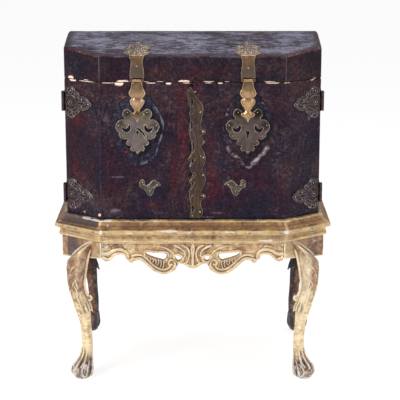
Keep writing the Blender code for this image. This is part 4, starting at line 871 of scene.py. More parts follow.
def lid_hide():
    P, N, C = rounded_path(PLAN, 0.0075, 0.0042, True, 7)
    n = len(P)
    rows, verts, got_marks = [], [], []
    ts = list(np.concatenate([[0, 0.008, 0.018, 0.034], np.linspace(0.06, 1.0, 20)]))
    top = lid_z(P[:, 1]) - EDGE_R
    for t in ts:
        rows.append((P, Z_LID0 + (top - Z_LID0) * t, N, 0.0))
    for a in np.linspace(0, 90, 8)[1:]:
        a = math.radians(a)
        q = P - N * (EDGE_R * (1 - math.cos(a)))
        z = lid_z(q[:, 1]) - EDGE_R * (1 - math.sin(a))
        rows.append((q, z, N, math.sin(2 * a)))
    for q, z, nn, roll in rows:
        P3 = np.column_stack([q, z])
        ez = z - Z_LID0
        g = hide_marks(P3, np.maximum(0.9 * C, 0.50 * roll), ez, True)
        cant = (np.abs(q[:, 0]) > A + 0.004) & (q[:, 1] < YC - 0.003)
        front = (q[:, 1] < YC - 0.003)
        down = np.clip((lid_z(P[:, 1]) - z) / 0.012, 0, 1)
        g["red"] = np.maximum(g["red"], np.where(cant, 1.1, 0.75) * front * (1 - down))
        g["wear"] = np.maximum(g["wear"], np.where(cant & front, 0.62, 0.42) * gauss(down, 0.25, 0.40) + 0.25 * fbm(P3, 0.03, 2, 6))
        g["blue"] = g["blue"] * (0.35 + 0.65 * down)
        g["pale"] = np.maximum(g["pale"], 0.95 * C ** 2 * front)
        # painted sheen on the rolled top edge
        g["top"] = np.full(n, 0.35 * roll if roll else 0.0)
        push = -0.0003 + 0.00030 * fbm(P3, 0.105, 3, 3) + 0.00014 * fbm(P3, 0.018, 2, 4)
        push = np.minimum(push, 0.0001) - 0.0011 * np.clip(1 - ez / 0.0028, 0, 1) ** 2 - 0.0005 * step(g["chip"], 0.40, 0.60)
        P3[:, :2] += nn * (push * (1.0 if roll == 0 else 0.0))[:, None]
        verts.append(P3)
        got_marks.append(g)
    faces = []
    for j in range(len(rows) - 1):
        for i in range(n):
            k = (i + 1) % n
            faces.append((j * n + i, j * n + k, (j + 1) * n + k, (j + 1) * n + i))
    ring = rows[-1][0]
    base = (len(rows) - 1) * n
    # points inside: a loose grid, drawn together along the splits
    pts = [tuple(p) for p in ring]
    inner = [(x, y) for x in np.arange(-0.414, 0.415, 0.0075) for y in np.arange(-0.28, 0.281, 0.0075)]
    inner = np.array(inner) + 0.0016 * np.column_stack([noise3(np.column_stack([inner, np.zeros(len(inner))]), 0.003, 7),
                                                        noise3(np.column_stack([inner, np.ones(len(inner))]), 0.003, 8)])
    lines = [smooth(s, 6, False) for s in SPLITS]
    lines = [ln + 0.0016 * np.column_stack([np.zeros(len(ln)), noise3(np.column_stack([ln, np.zeros(len(ln))]), 0.012, 9)]) for ln in lines]
    near = np.min([line_dist(inner, ln)[0] for ln in lines], 0)
    keep = (sdf(inner, [ring]) > 0.004) & (near > 0.006)
    pts += [tuple(p) for p in inner[keep]]
    for ln in lines:
        tan = np.gradient(ln, axis=0)
        tan /= np.linalg.norm(tan, axis=1)[:, None]
        nr = np.column_stack([-tan[:, 1], tan[:, 0]])
        for off in (-0.0060, -0.0034, -0.0018, 0.0, 0.0018, 0.0034, 0.0060):
            pts += [tuple(p) for p in ln + nr * off]
    edges = [(i, (i + 1) % n) for i in range(n)]
    got, _, tris, origin, _, _ = delaunay_2d_cdt([Vector(p) for p in pts], edges, [list(range(n))], 1, 1e-7)
    Q = np.array([tuple(v) for v in got])
    index, extra = {}, []
    for i, o in enumerate(origin):
        loop = [k for k in o if k < n]
        if loop:
            index[i] = base + loop[0]
        else:
            index[i] = len(rows) * n + len(extra)
            extra.append(i)
    E = Q[extra]
    dist = np.array([line_dist(E, ln)[0] for ln in lines])
    along = np.array([line_dist(E, ln)[1] for ln in lines])
    which = dist.argmin(0)
    d = dist[which, np.arange(len(E))]
    t = along[which, np.arange(len(E))]
    wide = 0.0013 + 0.0026 * np.sin(np.pi * np.clip(t, 0, 1)) ** 2
    split = np.exp(-(d / wide) ** 2)
    lip = np.exp(-((d - 0.0048) / 0.0022) ** 2)
    z = lid_z(E[:, 1])
    P3 = np.column_stack([E, z])
    inset = sdf(E, [ring])
    z = z + np.minimum(0.0006 * fbm(P3, 0.12, 3, 61) + 0.0003 * fbm(P3, 0.025, 2, 62), 0.0007) * step(inset, 0, 0.012)
    z = z - 0.0017 * split + 0.0007 * lip
    verts.append(np.column_stack([E, z]))
    g = hide_marks(P3, np.zeros(len(E)), np.full(len(E), 1.0), True)
    front = step(-E[:, 1], 0.10, 0.27)
    g["wear"] = 0.18 * fbm(P3, 0.05, 3, 77) + 0.30 * lip
    g["chip"] = np.zeros(len(E))
    g["pale"] = np.clip(0.30 * fbm(P3, 0.04, 3, 78) + 0.35 * lip, 0, 1)
    g["red"] = np.clip(g["red"] * (0.4 + 0.6 * front) + 0.35 * front * gauss(inset, 0.0, 0.030), 0, 1)
    g["blue"] = np.clip(g["blue"] + 0.10, 0, 1) * (1 - 0.6 * gauss(inset, 0.0, 0.020))
    g["dim"] = 0.5 * g["dim"]
    # painted sheen over the top, fading in near its edge
    g["top"] = step(inset, 0.002, 0.030) * np.clip(1.0 + 0.6 * fbm(P3, 0.16, 3, 79), 0.35, 1.2)
    g["crack_and_shadow"] = split
    got_marks.append(g)
    for f in tris:
        faces.append(tuple(index[i] for i in f))
    ob = add_object("lid_hide", np.concatenate(verts), faces, M_LEATHER, {k: np.concatenate([m[k] for m in got_marks]) for k in got_marks[0]})
    mod = ob.modifiers.new("thickness", "SOLIDIFY")
    mod.thickness = 0.0019
    mod.offset = -1.0
    return own(ob, "lid", "leather", "lid_leather")


lid_hide()

lock_half = [(0, 62), (10, 62), (20, 66), (30, 74), (39, 72), (46, 63), (47, 52), (41, 43), (43, 39), (53, 39), (63, 32), (70, 20), (69, 8), (63, -2), (58, -5), (60, -12),
             (53, -22), (43, -26), (34, -25), (31, -28), (36, -33), (36, -40), (29, -46), (21, -46), (21, -50), (24, -56), (18, -64), (9, -64), (6, -66), (4, -71), (0, -74)]
PLATE_LINE = smooth(mm(mirror_half(lock_half)), 3)

# shields of thicker hide behind the locks; the right one is torn and curled along its lower edge
shield = {
    "left": [(-18, 114), (-42, 105), (-70, 73), (-81, 45), (-84, 13), (-78, -24), (-68, -60), (-41, -97), (-5, -113), (31, -105), (59, -81), (72, -44), (87, 9),
             (80, 49), (57, 89), (31, 114)],
    "right": [(14, 119), (42, 105), (70, 69), (82, 29), (77, -12), (74, -50), (68, -66), (28, -109), (-4, -124), (-40, -94), (-69, -64), (-76, -40), (-85, -7),
              (-77, 41), (-65, 81), (-41, 111), (-18, 121)],
}
for side, word in ((-1, "left"), (1, "right")):
    line = smooth(mm(shield[word]), 5)
    line[:, 1] = np.minimum(line[:, 1], 0.1275)
    hole = mm([(-24.3, -36.3), (24.3, -36.3), (24.3, 68.3), (-24.3, 68.3)])

    def curl(P, d, side=side):
        P3 = np.column_stack([P, np.zeros(len(P))])
        d = sdf(P, [line])
        h = 0.00016 * fbm(P3, 0.02, 2, 14) + 0.0006 * np.exp(-(d / 0.0040) ** 2)
        if side > 0:
            low = step(-P[:, 1] - 0.35 * np.abs(P[:, 0]), 0.018, 0.032)
            h = h + low * np.clip(0.0036 + 0.0022 * fbm(P3, 0.024, 2, 4) + 0.0020 * fbm(P3, 0.008, 3, 6), 0.0006, 0.0058) * np.exp(-((d - 0.0085) / 0.0066) ** 2)
        return h

    def marks(P, d, side=side):
        d = sdf(P, [line])
        P3 = np.column_stack([P[:, 0] + side, P[:, 1], np.zeros(len(P))])
        n1 = fbm(P3, 0.030, 3, 41)
        n3 = fbm(P3, 0.009, 3, 46)
        worn = np.exp(-(d / 0.0040) ** 2)
        # painted shadow of the lock plate, offset down and to the right, and a dark painted crevice just along the
        # shield's edge
        dim = np.maximum(0.85 * step(sdf(P - np.array([0.0065, -0.0055]), [PLATE_LINE]), -0.009, -0.001), 0.75 * np.exp(-(d / 0.0016) ** 2))
        rim = np.exp(-((d - 0.0055) / 0.0034) ** 2)
        if side > 0:
            low = step(-P[:, 1] - 0.35 * np.abs(P[:, 0]), 0.018, 0.032)
            roll = low * np.exp(-((d - 0.0105) / 0.0105) ** 2)
            arm = step(P[:, 0], -0.012, 0.020)
            # along the curled lip a pale mauve roll, with a painted highlight streak strongest on its right arm; the
            # rim above the lip gets a painted highlight over rubbed hide
            streak = low * np.exp(-((d - 0.0135 - 0.002 * n1) / 0.0036) ** 2)
            pale = roll * np.clip(0.42 + 0.25 * arm + 0.9 * n3 + 0.5 * n1, 0, 1.0) + streak * np.clip(0.20 + 0.55 * arm + 1.0 * n3, 0, 1.0) + 0.55 * rim * (1 - low) * np.clip(0.20 + 0.8 * n1 + 0.9 * n3, 0, 1.0) + 0.16 * np.clip(n3 + 0.5 * n1, 0, 1)
            pale = pale + 0.36 * np.exp(-((P[:, 0] + 0.060) / 0.017) ** 2 - ((P[:, 1] - 0.062) / 0.034) ** 2) * np.clip(0.6 + 0.9 * n3, 0, 1)
            pale = pale + 0.36 * np.exp(-((P[:, 0] - 0.044) / 0.018) ** 2 - ((P[:, 1] - 0.084) / 0.020) ** 2) * np.clip(0.6 + 0.9 * n3, 0, 1)
            chip = 0.55 * low * np.exp(-((d - 0.004) / 0.003) ** 2) * np.clip(0.2 + 1.4 * n1, 0, 1)
            red = np.clip(0.05 + 0.45 * step(-P[:, 1], 0.015, 0.050) * (1 - roll) + 0.5 * roll * (1 - arm) + 0.4 * fbm(P3, 0.06, 3, 42), 0, 1)
            blue = np.clip(0.80 - 0.40 * step(-P[:, 1], 0.015, 0.050) + 0.5 * fbm(P3, 0.06, 3, 43), 0, 1.1)
            # painted shadow under the curled lip
            dim = np.maximum(dim, 0.75 * low * np.exp(-((d - 0.024) / 0.007) ** 2) * (0.6 + 0.4 * arm))
        else:
            # pale along the raised rim, strongest towards the lower right: a painted highlight over rubbed hide; pale
            # and mottled inside
            low = step(P[:, 0] - 0.4 * P[:, 1], 0.030, 0.090)
            pale = rim * np.clip(0.16 + 0.22 * low + 0.55 * n1 + 0.55 * n3, 0, 0.8) + 0.18 + 0.34 * np.clip(0.7 * fbm(P3, 0.025, 3, 44) + 0.9 * fbm(P3, 0.0055, 3, 47), 0, 1)
            chip = 0.44 * np.exp(-((P[:, 0] + 0.036) / 0.009) ** 2 - ((P[:, 1] + 0.066) / 0.006) ** 2)
            red = 0.7 * np.exp(-((P[:, 0] + 0.034) / 0.022) ** 2 - ((P[:, 1] + 0.068) / 0.014) ** 2)
            blue = np.clip(0.95 - red + 0.35 * fbm(P3, 0.05, 3, 43), 0, 1.1)
        return {"wear": worn * 0.30 + 0.16 * n1, "chip": chip, "red": red, "blue": blue, "pale": np.clip(pale, 0, 1.6), "dim": dim}

    ob = relief_plate(word + "_lock_shield", [line, hole], 0.0020, 0.0009, front_place(side * LOCK_X, LOCK_Z), M_PATCH if side < 0 else M_TORN, curl, 0.0015, 0.0001,
                      0.0009, 3 + side, 60, marks)
    own(ob, word + "_door", "leather")


# ---------------------------------------------------------------- brass, bronze and iron
def ring(p0, p1, r, bore, segments=24, soften=0.0005):
    """Barrel with a bore."""
    p0, p1 = np.array(p0, float), np.array(p1, float)
    ax = p1 - p0
    ln = np.linalg.norm(ax)
    ax = ax / ln
    u = np.cross(ax, (0.3, 0.5, 0.8))
    u /= np.linalg.norm(u)
    w = np.cross(ax, u)
    prof = [(r - soften, 0), (r, soften), (r, ln - soften), (r - soften, ln), (bore, ln), (bore, 0)]
    V = []
    for rr, h in prof:
        for i in range(segments):
            a = 2 * math.pi * i / segments
            V.append(p0 + ax * h + u * rr * math.cos(a) + w * rr * math.sin(a))
    F = []
    k = len(prof)
    for q in range(k):
        for i in range(segments):
            j = (i + 1) % segments
            F.append((q * segments + i, q * segments + j, (q + 1) % k * segments + j, (q + 1) % k * segments + i))
    return np.array(V), F


NAIL = [(0.0, -0.0006), (0.86, -0.0006), (1.0, 0.0), (0.97, 0.00035), (0.86, 0.0009), (0.66, 0.00145), (0.36, 0.0018), (0.0, 0.00195)]


def nails(name, body, slot, spots, material=None):
    """Domed heads: spots are (placing, along, up, height of the plate there, radius)."""
    s = Soup()
    for place, u, v, h, r in spots:
        q = place(np.array([u, u]), np.array([v, v]), np.array([h, h + 0.001]))
        k = r / 0.0026
        s.add(*lathe([(a * r, b * k) for a, b in NAIL], q[0], q[1] - q[0], 14))
    return own(s.object(name, material or M_NAIL, None, 60), body, slot)


def ridge(P, line, w0, w1, h0, h1=None, power=0.5):
    """Rounded rib along a line, from width w0 to w1."""
    d, t, _ = line_dist(P, line)
    w = w0 + (w1 - w0) * t
    h = h0 + ((h1 if h1 is not None else h0) - h0) * t
    return h * np.clip(1 - (d / w) ** 2, 0, 1) ** power


def both(P):
    return np.column_stack([np.abs(P[:, 0]), P[:, 1]])


# lock plates
crescent = [(49, 14), (46, 4), (37, -2), (27, 1), (22, 10), (25, 22), (30, 13), (36, 9), (43, 10)]
keyhole = mm([(2.2, -19), (1.5, -11), (4.2, -6), (4.4, 0), (0, 3.5), (-4.4, 0), (-4.2, -6), (-1.5, -11), (-2.2, -19)])
slot_poly = mm([(-3.6, 41.5), (3.6, 41.5), (3.6, 60.5), (-3.6, 60.5)])
LOBES = [(31, 61, 14), (55, 18, 17), (47, -12, 11), (23, -42, 11)]


def lock_relief(P, d):
    Q = both(P)
    P3 = np.column_stack([P, np.zeros(len(P))])
    key = np.hypot(P[:, 0], P[:, 1] + 0.008)
    h = 0.00090 * gauss(d, 0.0017, 0.0009) * step(key, 0.014, 0.020)
    h = h + 0.0017 * np.exp(-np.hypot(P[:, 0] / 0.030, (P[:, 1] + 0.004) / 0.046) ** 2)
    for x, z, r in LOBES:
        h = h - 0.0007 * np.exp(-(np.hypot(Q[:, 0] - x / 1000, Q[:, 1] - z / 1000) / (0.0006 * r)) ** 2)
    return h + 0.00012 * fbm(P3, 0.006, 2, 3) + 0.00030 * fbm(P3, 0.030, 2, 13)


def lock_marks(side):
    def marks(P, d):
        Q = both(P)
        P3 = np.column_stack([P[:, 0] + side, P[:, 1], np.zeros(len(P))])
        g = np.zeros(len(P))
        for x, z, r in LOBES[:2]:
            g = np.maximum(g, np.exp(-(np.hypot(Q[:, 0] - x / 1000, Q[:, 1] - z / 1000) / (0.0010 * r)) ** 2))
        g = g * (0.75 if side < 0 else 0.85) * step(d, 0.001, 0.004)
        g = g + (0.0 if side < 0 else 0.30) * step(P[:, 1], 0.015, 0.060)
        return {"grime": np.clip(g + 0.45 * fbm(P3, 0.03, 3, 17) + 0.40 * fbm(P3, 0.010, 3, 18), 0, 1)}
    return marks


FOLD = smooth(mm([(-3, 10), (6, 7), (15, -2), (22, -12), (27, -25)]), 6, False)
tear = []
for k in np.linspace(0, 1, 12):
    i = k * (len(FOLD) - 1)
    tear.append((FOLD[int(i)], 0.0006 + 0.0030 * math.sin(math.pi * min(1.0, 0.12 + 0.9 * k)) ** 1.5))
tl = [c + np.array([w * 0.6, w * 0.5]) for c, w in tear]
tr = [c - np.array([w * 0.6, w * 0.5]) for c, w in reversed(tear)]
TEAR = np.array(tl + tr)
lock_nails = [(31, 62), (-31, 62), (60, 20), (-60, 20), (47, -14), (-47, -14), (0, -66)]
for side, word in ((-1, "left"), (1, "right")):
    key = keyhole * (np.array([1.30, 1.10]) if side > 0 else np.array([0.8, 0.7]))
    polys = [smooth(mm(mirror_half(lock_half)), 5), smooth(mm(crescent), 4), smooth(mm(crescent) * np.array([-1, 1]), 4), key, slot_poly]
    if side < 0:
        polys.append(TEAR)
    ob = relief_plate(word + "_lock_mount", polys, 0.00072, 0.0011, front_place(side * LOCK_X, LOCK_Z), M_PLATE if side < 0 else M_PLATE_DARK, lock_relief, 0.0010, 0.0010,
                      0.0002, 5 + side, None, lock_marks(side))
    curvature(ob, 6, 40)
    own(ob, word + "_door", "brass", word + "_lock_plate")
    nails(word + "_lock_nails", word + "_door", "brass",
          [(front_place(side * LOCK_X, LOCK_Z), u / 1000, v / 1000, 0.0022, 0.0021) for u, v in lock_nails])

# hasps
hasp_half = [(0, -3.3), (14.3, -3), (17, -12), (20, -26), (25.5, -38), (26, -45), (20, -53), (18, -57), (22, -62), (23.5, -68), (20, -78),
             (12.5, -89), (9, -97), (12, -102), (21, -106), (22, -112), (16, -117), (8, -121), (4, -128), (0, -135)]


def hasp_relief(P, d):
    v = -P[:, 1]
    wide = np.interp(v, [0.0, 0.030, 0.045, 0.056, 0.068, 0.085, 0.097, 0.108, 0.125], [0.0145, 0.0150, 0.0175, 0.0150, 0.0160, 0.0120, 0.0088, 0.0130, 0.0080])
    body = np.exp(-(P[:, 0] / wide) ** 4)
    swell = 0.0022 + 0.0012 * gauss(v, 0.041, 0.013) + 0.0030 * gauss(v, 0.069, 0.014) + 0.0012 * gauss(v, 0.109, 0.009)
    h = swell * body * step(d, 0.0, 0.006) + 0.00055 * gauss(d, 0.0013, 0.0008)
    h = h - 0.0007 * gauss(v, 0.0565, 0.0030) - 0.0007 * gauss(v, 0.0970, 0.0030)
    return h + 0.00010 * fbm(np.column_stack([P, np.zeros(len(P))]), 0.010, 2, 18)


def hasp_marks(side):
    def marks(P, d):
        v = -P[:, 1]
        P3 = np.column_stack([P[:, 0] + side, P[:, 1], np.zeros(len(P))])
        g = 0.80 * (1 - step(v, 0.010, 0.050)) + 0.30 * gauss(v, 0.0565, 0.005) + 0.5 * step(v, 0.076, 0.094)
        g = g + (0.55 if side < 0 else -0.15) * step(v, 0.096, 0.102)
        # painted shade: the hasp darkens towards its left and right sides, as its rounded face turns away from the
        # light
        g = g + 0.35 * np.clip(np.abs(P[:, 0]) / 0.016, 0, 1) ** 2 * step(d, 0.001, 0.004)
        return {"grime": np.clip(g + 0.25 * fbm(P3, 0.02, 2, 19), 0, 1)}
    return marks


pin_y = YF - KNUCKLE_R - 0.0004
strap_half = [(0, 7.4), (15.4, 7.0), (15.4, 1.6), (22.2, 1.6), (22.4, 8), (23, 14), (22.5, 26), (21.5, 38), (20, 46), (19.3, 55), (20.5, 66),
              (24.0, 74), (25.5, 79), (34, 86), (43, 100), (42, 114), (33, 126), (36, 138), (41, 156), (36, 174), (24, 184), (11, 180), (13, 196),
              (9, 214), (0, 224)]


def lid_profile():
    """The lid's front and slope as (y, z), by length from the hasp pin up."""
    pts = [(YF, z) for z in np.linspace(HASP_Z - 0.01, lid_z(YF) - EDGE_R, 30)]
    for a in np.radians(np.linspace(0, 90, 13)[1:]):
        y = YF + EDGE_R * (1 - math.cos(a))
        pts.append((y, float(lid_z(y)) - EDGE_R * (1 - math.sin(a))))
    for y in np.linspace(YF + EDGE_R, -0.05, 60)[1:]:
        pts.append((y, float(lid_z(y))))
    p = np.array(pts)
    s = np.concatenate([[0], np.cumsum(np.linalg.norm(np.diff(p, axis=0), axis=1))]) - 0.01
    t = np.gradient(p, axis=0)
    t /= np.linalg.norm(t, axis=1)[:, None]
    return p, s, np.column_stack([-t[:, 1], t[:, 0]])


LP, LS, LN = lid_profile()


def lid_place(cx):
    def place(u, v, h):
        y, z = np.interp(v, LS, LP[:, 0]), np.interp(v, LS, LP[:, 1])
        ny, nz = np.interp(v, LS, LN[:, 0]), np.interp(v, LS, LN[:, 1])
        k = np.hypot(ny, nz)
        return np.stack([cx + u, y + ny / k * h, z + nz / k * h], 1)
    return place


PALM_VEINS = [smooth(mm(p), 5, False) for p in (
    [(0, 84), (0, 130), (0, 214)], [(5, 88), (20, 96), (34, 103)], [(5, 100), (18, 110), (32, 112)], [(4, 122), (14, 134), (30, 150), (33, 160)],
    [(4, 130), (12, 150), (24, 170), (24, 178)], [(3, 150), (6, 175), (7, 196)], [(4, 112), (16, 122), (30, 128)])]


def strap_relief(P, d):
    Q = both(P)
    palm = step(P[:, 1], 0.078, 0.092)
    h = 0.00075 * gauss(d, 0.0015, 0.0008) * (1 - 0.5 * palm)
    for ln in PALM_VEINS:
        h = np.maximum(h, ridge(Q, ln, 0.0042, 0.0018, 0.0011) * palm)
    h = h + palm * 0.0008 * (1 - np.clip(1 - d / 0.006, 0, 1) ** 2)
    h = h + (1 - palm) * 0.0007 * (1 - np.clip(1 - d / 0.016, 0, 1) ** 2)
    h = h + palm * 0.00075 * fbm(np.column_stack([P, np.zeros(len(P))]), 0.0045, 2, 8)
    return h


def strap_marks(P, d):
    v = P[:, 1]
    P3 = np.column_stack([P, np.zeros(len(P))])
    g = 0.80 * (1 - step(v, 0.030, 0.060)) + 0.70 * step(v, 0.078, 0.090)
    return {"grime": np.clip(g + 0.30 * fbm(P3, 0.020, 2, 28), 0, 1)}


PIERCE = [smooth(mm(p), 4) for p in ([(10, 101), (20, 105), (27, 107), (19, 108.5)], [(12, 138), (21, 147), (27, 156), (18, 150)],
                                      [(9, 160), (14, 168), (17, 176), (11, 170)])]
for side, word in ((-1, "left"), (1, "right")):
    cx = side * LOCK_X
    place = lid_place(cx)
    polys = [smooth(mm(mirror_half(strap_half)), 5)] + PIERCE + [p * np.array([-1, 1]) for p in PIERCE]
    polys[0][:, 1] = np.maximum(polys[0][:, 1], 0.0016)
    notch = (np.abs(polys[0][:, 0]) < 0.0150) & (polys[0][:, 1] < 0.02)
    polys[0][notch, 1] = np.maximum(polys[0][notch, 1], 0.0070)
    ob = relief_plate(word + "_strap_mount", polys, 0.00085, 0.0016, place, M_STRAP, strap_relief, 0.0010, 0.0004, 0.0003, 9 + side, None, strap_marks)
    curvature(ob, 6, 40)
    own(ob, "lid", "brass", word + "_lid_strap")
    s = Soup()
    for sgn in (-1, 1):
        s.add(*ring((cx + sgn * 0.0149, pin_y, HASP_Z), (cx + sgn * 0.0230, pin_y, HASP_Z), KNUCKLE_R, 0.0027))
    own(s.object(word + "_strap_barrels", M_STRAP), "lid", "brass")
    spots = [(0, 45), (-9, 96), (9, 96), (0, 120), (-26, 165), (26, 165), (0, 200)] if side < 0 else [(0, 39), (-10, 98), (10, 98), (0, 124), (-28, 160),
                                                                                                     (28, 160), (0, 198)]
    nails(word + "_strap_nails", "lid", "brass", [(place, u / 1000, v / 1000, 0.0026 if v > 80 else 0.0018, 0.0031) for u, v in spots])

    outline = smooth(mm(mirror_half(hasp_half)), 5)
    outline[:, 1] = np.minimum(outline[:, 1], -0.0030)
    ob = relief_plate(word + "_hasp_mount", [outline], 0.00075, 0.0016, front_place(cx, HASP_Z), M_HASP, hasp_relief, 0.0012, 0.0030, 0.0, 11 + side, None, hasp_marks(side))
    curvature(ob, 6, 40)
    own(ob, word + "_hasp", "brass", word + "_hasp")
    s = Soup().add(*ring((cx - 0.0143, pin_y, HASP_Z), (cx + 0.0143, pin_y, HASP_Z), KNUCKLE_R, 0.0027))
    own(s.object(word + "_hasp_barrel", M_HASP), word + "_hasp", "brass")

# strap over the doors' meeting edge: a fluted stem on the right door with leaves that reach over the gap
right_edge = [(-6.5, 985.8), (4, 968), (13.3, 953.8), (29.2, 933.8), (35.1, 913.7), (31.2, 889.5), (27.2, 873.4), (27, 858), (40, 849), (41, 837), (28.8, 828),
              (34, 816.6), (39.8, 807.7), (34, 798.3), (28.8, 792), (36, 775.9), (42, 755.5), (38, 735), (30.5, 716.5), (40.5, 698), (40.5, 673.3), (31.5, 654.7),
              (28, 640), (40, 637), (41, 625), (29, 617), (27.6, 598.8), (33, 582), (31, 566), (25, 558)]
left_edge = [(-16, 969.8), (-14.5, 945.8), (-7.4, 917.7), (-10.6, 897.6), (-5.8, 881.4), (-10.7, 861.2), (-12.3, 836.9), (-6.7, 816.6), (-2.8, 788), (-6.8, 767.7),
             (-14.9, 750.6), (-6, 742), (-11.5, 730.9), (-8, 716.5), (-1.5, 700), (-13, 676.6), (-4, 668), (-11.8, 646.5), (-11.1, 623.7), (-7.1, 602.9), (-6.3, 578),
             (-8, 558)]
outline = mm(right_edge + list(reversed(left_edge)))
meet_line = smooth(outline, 3)
meet_line[:, 1] = np.maximum(meet_line[:, 1], 0.5575)
slits = []
for x, z, wide, tall in ((-1.6, 936, 5, 26), (-2.6, 862, 5, 28), (3.0, 795, 4.4, 34), (0.4, 746, 5, 18), (5.0, 700, 4.4, 16), (0.4, 672, 4, 12), (0.6, 588, 5, 26)):
    slits.append(smooth(mm([(x - wide * 0.2, z - tall / 2), (x + wide / 2, z - tall / 6), (x + wide * 0.35, z + tall / 3), (x - wide * 0.3, z + tall / 2), (x - wide / 2, z)]), 4))
FLUTES = [smooth(mm(p), 8, False) for p in (
    [(-4, 972), (12, 938), (22, 912), (18, 885), (15, 850), (22, 815), (20, 780), (30, 748), (22, 710), (31, 682), (19, 645), (17, 605), (18, 562)],
    [(-12, 962), (-7, 940), (6, 912), (4, 885), (3, 850), (9, 815), (9, 775), (16, 742), (10, 705), (18, 676), (8, 640), (7, 605), (6, 562)])]
LEAVES = [smooth(mm(p), 5, False) for p in (
    [(10, 800), (2, 776), (-11, 754)], [(14, 765), (4, 744), (-8, 733)], [(16, 718), (6, 696), (-9, 679)], [(12, 690), (2, 664), (-8, 648)], [(10, 640), (-2, 630), (-8, 618)],
    [(24, 850), (33, 846), (38, 840)], [(28, 800), (36, 806), (38, 808)], [(28, 632), (35, 634), (38, 630)], [(8, 905), (-2, 898), (-8, 896)], [(8, 860), (-4, 850), (-9, 838)])]


def meet_relief(P, d):
    P3 = np.column_stack([P, np.zeros(len(P))])
    h = 0.00070 * gauss(d, 0.0013, 0.0007)
    for ln in FLUTES:
        h = np.maximum(h, ridge(P, ln, 0.0070, 0.0062, 0.0011, None, 1.0))
    for ln in LEAVES:
        h = np.maximum(h, ridge(P, ln, 0.0034, 0.0014, 0.0010, None, 0.8))
    return h + 0.0003 * fbm(P3, 0.008, 2, 12)


def meet_marks(P, d):
    P3 = np.column_stack([P, np.zeros(len(P))])
    return {"grime": np.clip(0.25 + 0.45 * fbm(P3, 0.040, 3, 16), 0, 0.8)}


ob = relief_plate("meeting_mount", [meet_line] + slits, 0.0008, 0.0013, front_place(0, 0), M_MEET, meet_relief, 0.0009, 0.0004, 0.0003, 15, None, meet_marks)
curvature(ob, 6, 40)
own(ob, "right_door", "brass", "meeting_strap")
nails("meeting_nails", "right_door", "brass",
      [(front_place(0, 0), x / 1000, z / 1000, 0.0018, r) for x, z, r in ((33, 842, 0.0034), (35, 758, 0.0033), (33, 700, 0.0033), (35, 631, 0.0032), (24, 578, 0.0033),
                                                                          (-7, 730, 0.0029), (-1, 566, 0.0029), (8, 970, 0.0027), (27, 762, 0.0022), (34, 808, 0.0020),
                                                                          (26, 905, 0.0024))])

# leaf ornaments low on the doors: one leaf with a curled tail
orn = [(39.5, 13.4), (25.4, 25), (14.4, 29.8), (5, 23.3), (-4.4, 13.4), (-12.2, 12.5), (-13.8, 25), (-21.6, 31.5), (-30, 25.6), (-32.6, 15), (-29.5, 5.2), (-20, 0.3),
       (-12.2, -7.9), (-6, -19.4), (1.9, -25.3), (9.7, -19.4), (14.4, -9.5), (19, 2), (28.6, 8.5)]
ORN_LINES = [smooth(mm(p), 5, False) for p in ([(37, 13.6), (26, 22), (14.4, 26), (6, 19), (-4, 10), (-13, 9.5), (-19, 12)],
                                               [(1.9, -22), (3, -8), (12, 4), (26, 12)], [(-8, -12), (-2, -2), (6, 8)], [(-19, 3), (-8, 2), (2, 10)])]
for side, word in ((-1, "left"), (1, "right")):
    k = np.array([-side, 1.0])
    place = front_place(side * 0.140, 0.655)

    def orn_relief(P, d, k=k):
        Q = P * k
        h = 0.0010 * gauss(d, 0.0015, 0.0009)
        for ln, w, t in zip(ORN_LINES, (0.0030, 0.0020, 0.0016, 0.0016), (0.0016, 0.0007, 0.0006, 0.0006)):
            h = np.maximum(h, ridge(Q, ln, w, w * 0.6, t))
        r = np.hypot(Q[:, 0] + 0.0216, Q[:, 1] - 0.0203)
        h = np.maximum(h, 0.0015 * gauss(r, 0.0082, 0.0017))
        return h + 0.0004 * (1 - np.clip(1 - d / 0.008, 0, 1) ** 2)

    def orn_marks(P, d):
        return {"grime": np.full(len(P), 0.62)}

    ob = relief_plate(word + "_leaf_mount", [smooth(mm(orn) * k, 5)], 0.0007, 0.0012, place, M_PLATE, orn_relief, 0.0009, 0.0004, 0.0002, 19 + side, None, orn_marks)
    curvature(ob, 6, 40)
    own(ob, word + "_door", "brass", word + "_leaf_ornament")
    nails(word + "_leaf_nails", word + "_door", "brass",
          [(place, -side * u / 1000, v / 1000, 0.0022, 0.0025) for u, v in ((-20.5, 20), (25.4, 14.4), (1.9, -7.2))])

# door hinges
leaf_half = [(6, 33), (8, 43), (16, 50.5), (28, 53.5), (40, 50.5), (48, 43), (50, 37), (56, 37), (63, 33), (67, 26), (66, 22), (74, 24), (86, 22.5), (98, 18.5), (107, 11.5),
             (114, 5.5), (117.5, 0)]
leaf_line = mm(leaf_half + [(x, -y) for x, y in reversed(leaf_half[:-1])])
LEAF_LINES = [smooth(mm(p), 5, False) for p in ([(70, 16), (84, 15), (97, 11), (106, 3)], [(58, 5), (72, 6), (86, 4), (96, 0)], [(12, 20), (24, 23), (40, 21), (52, 14)],
                                                [(44, 30), (54, 25), (64, 15), (66, 8)])]


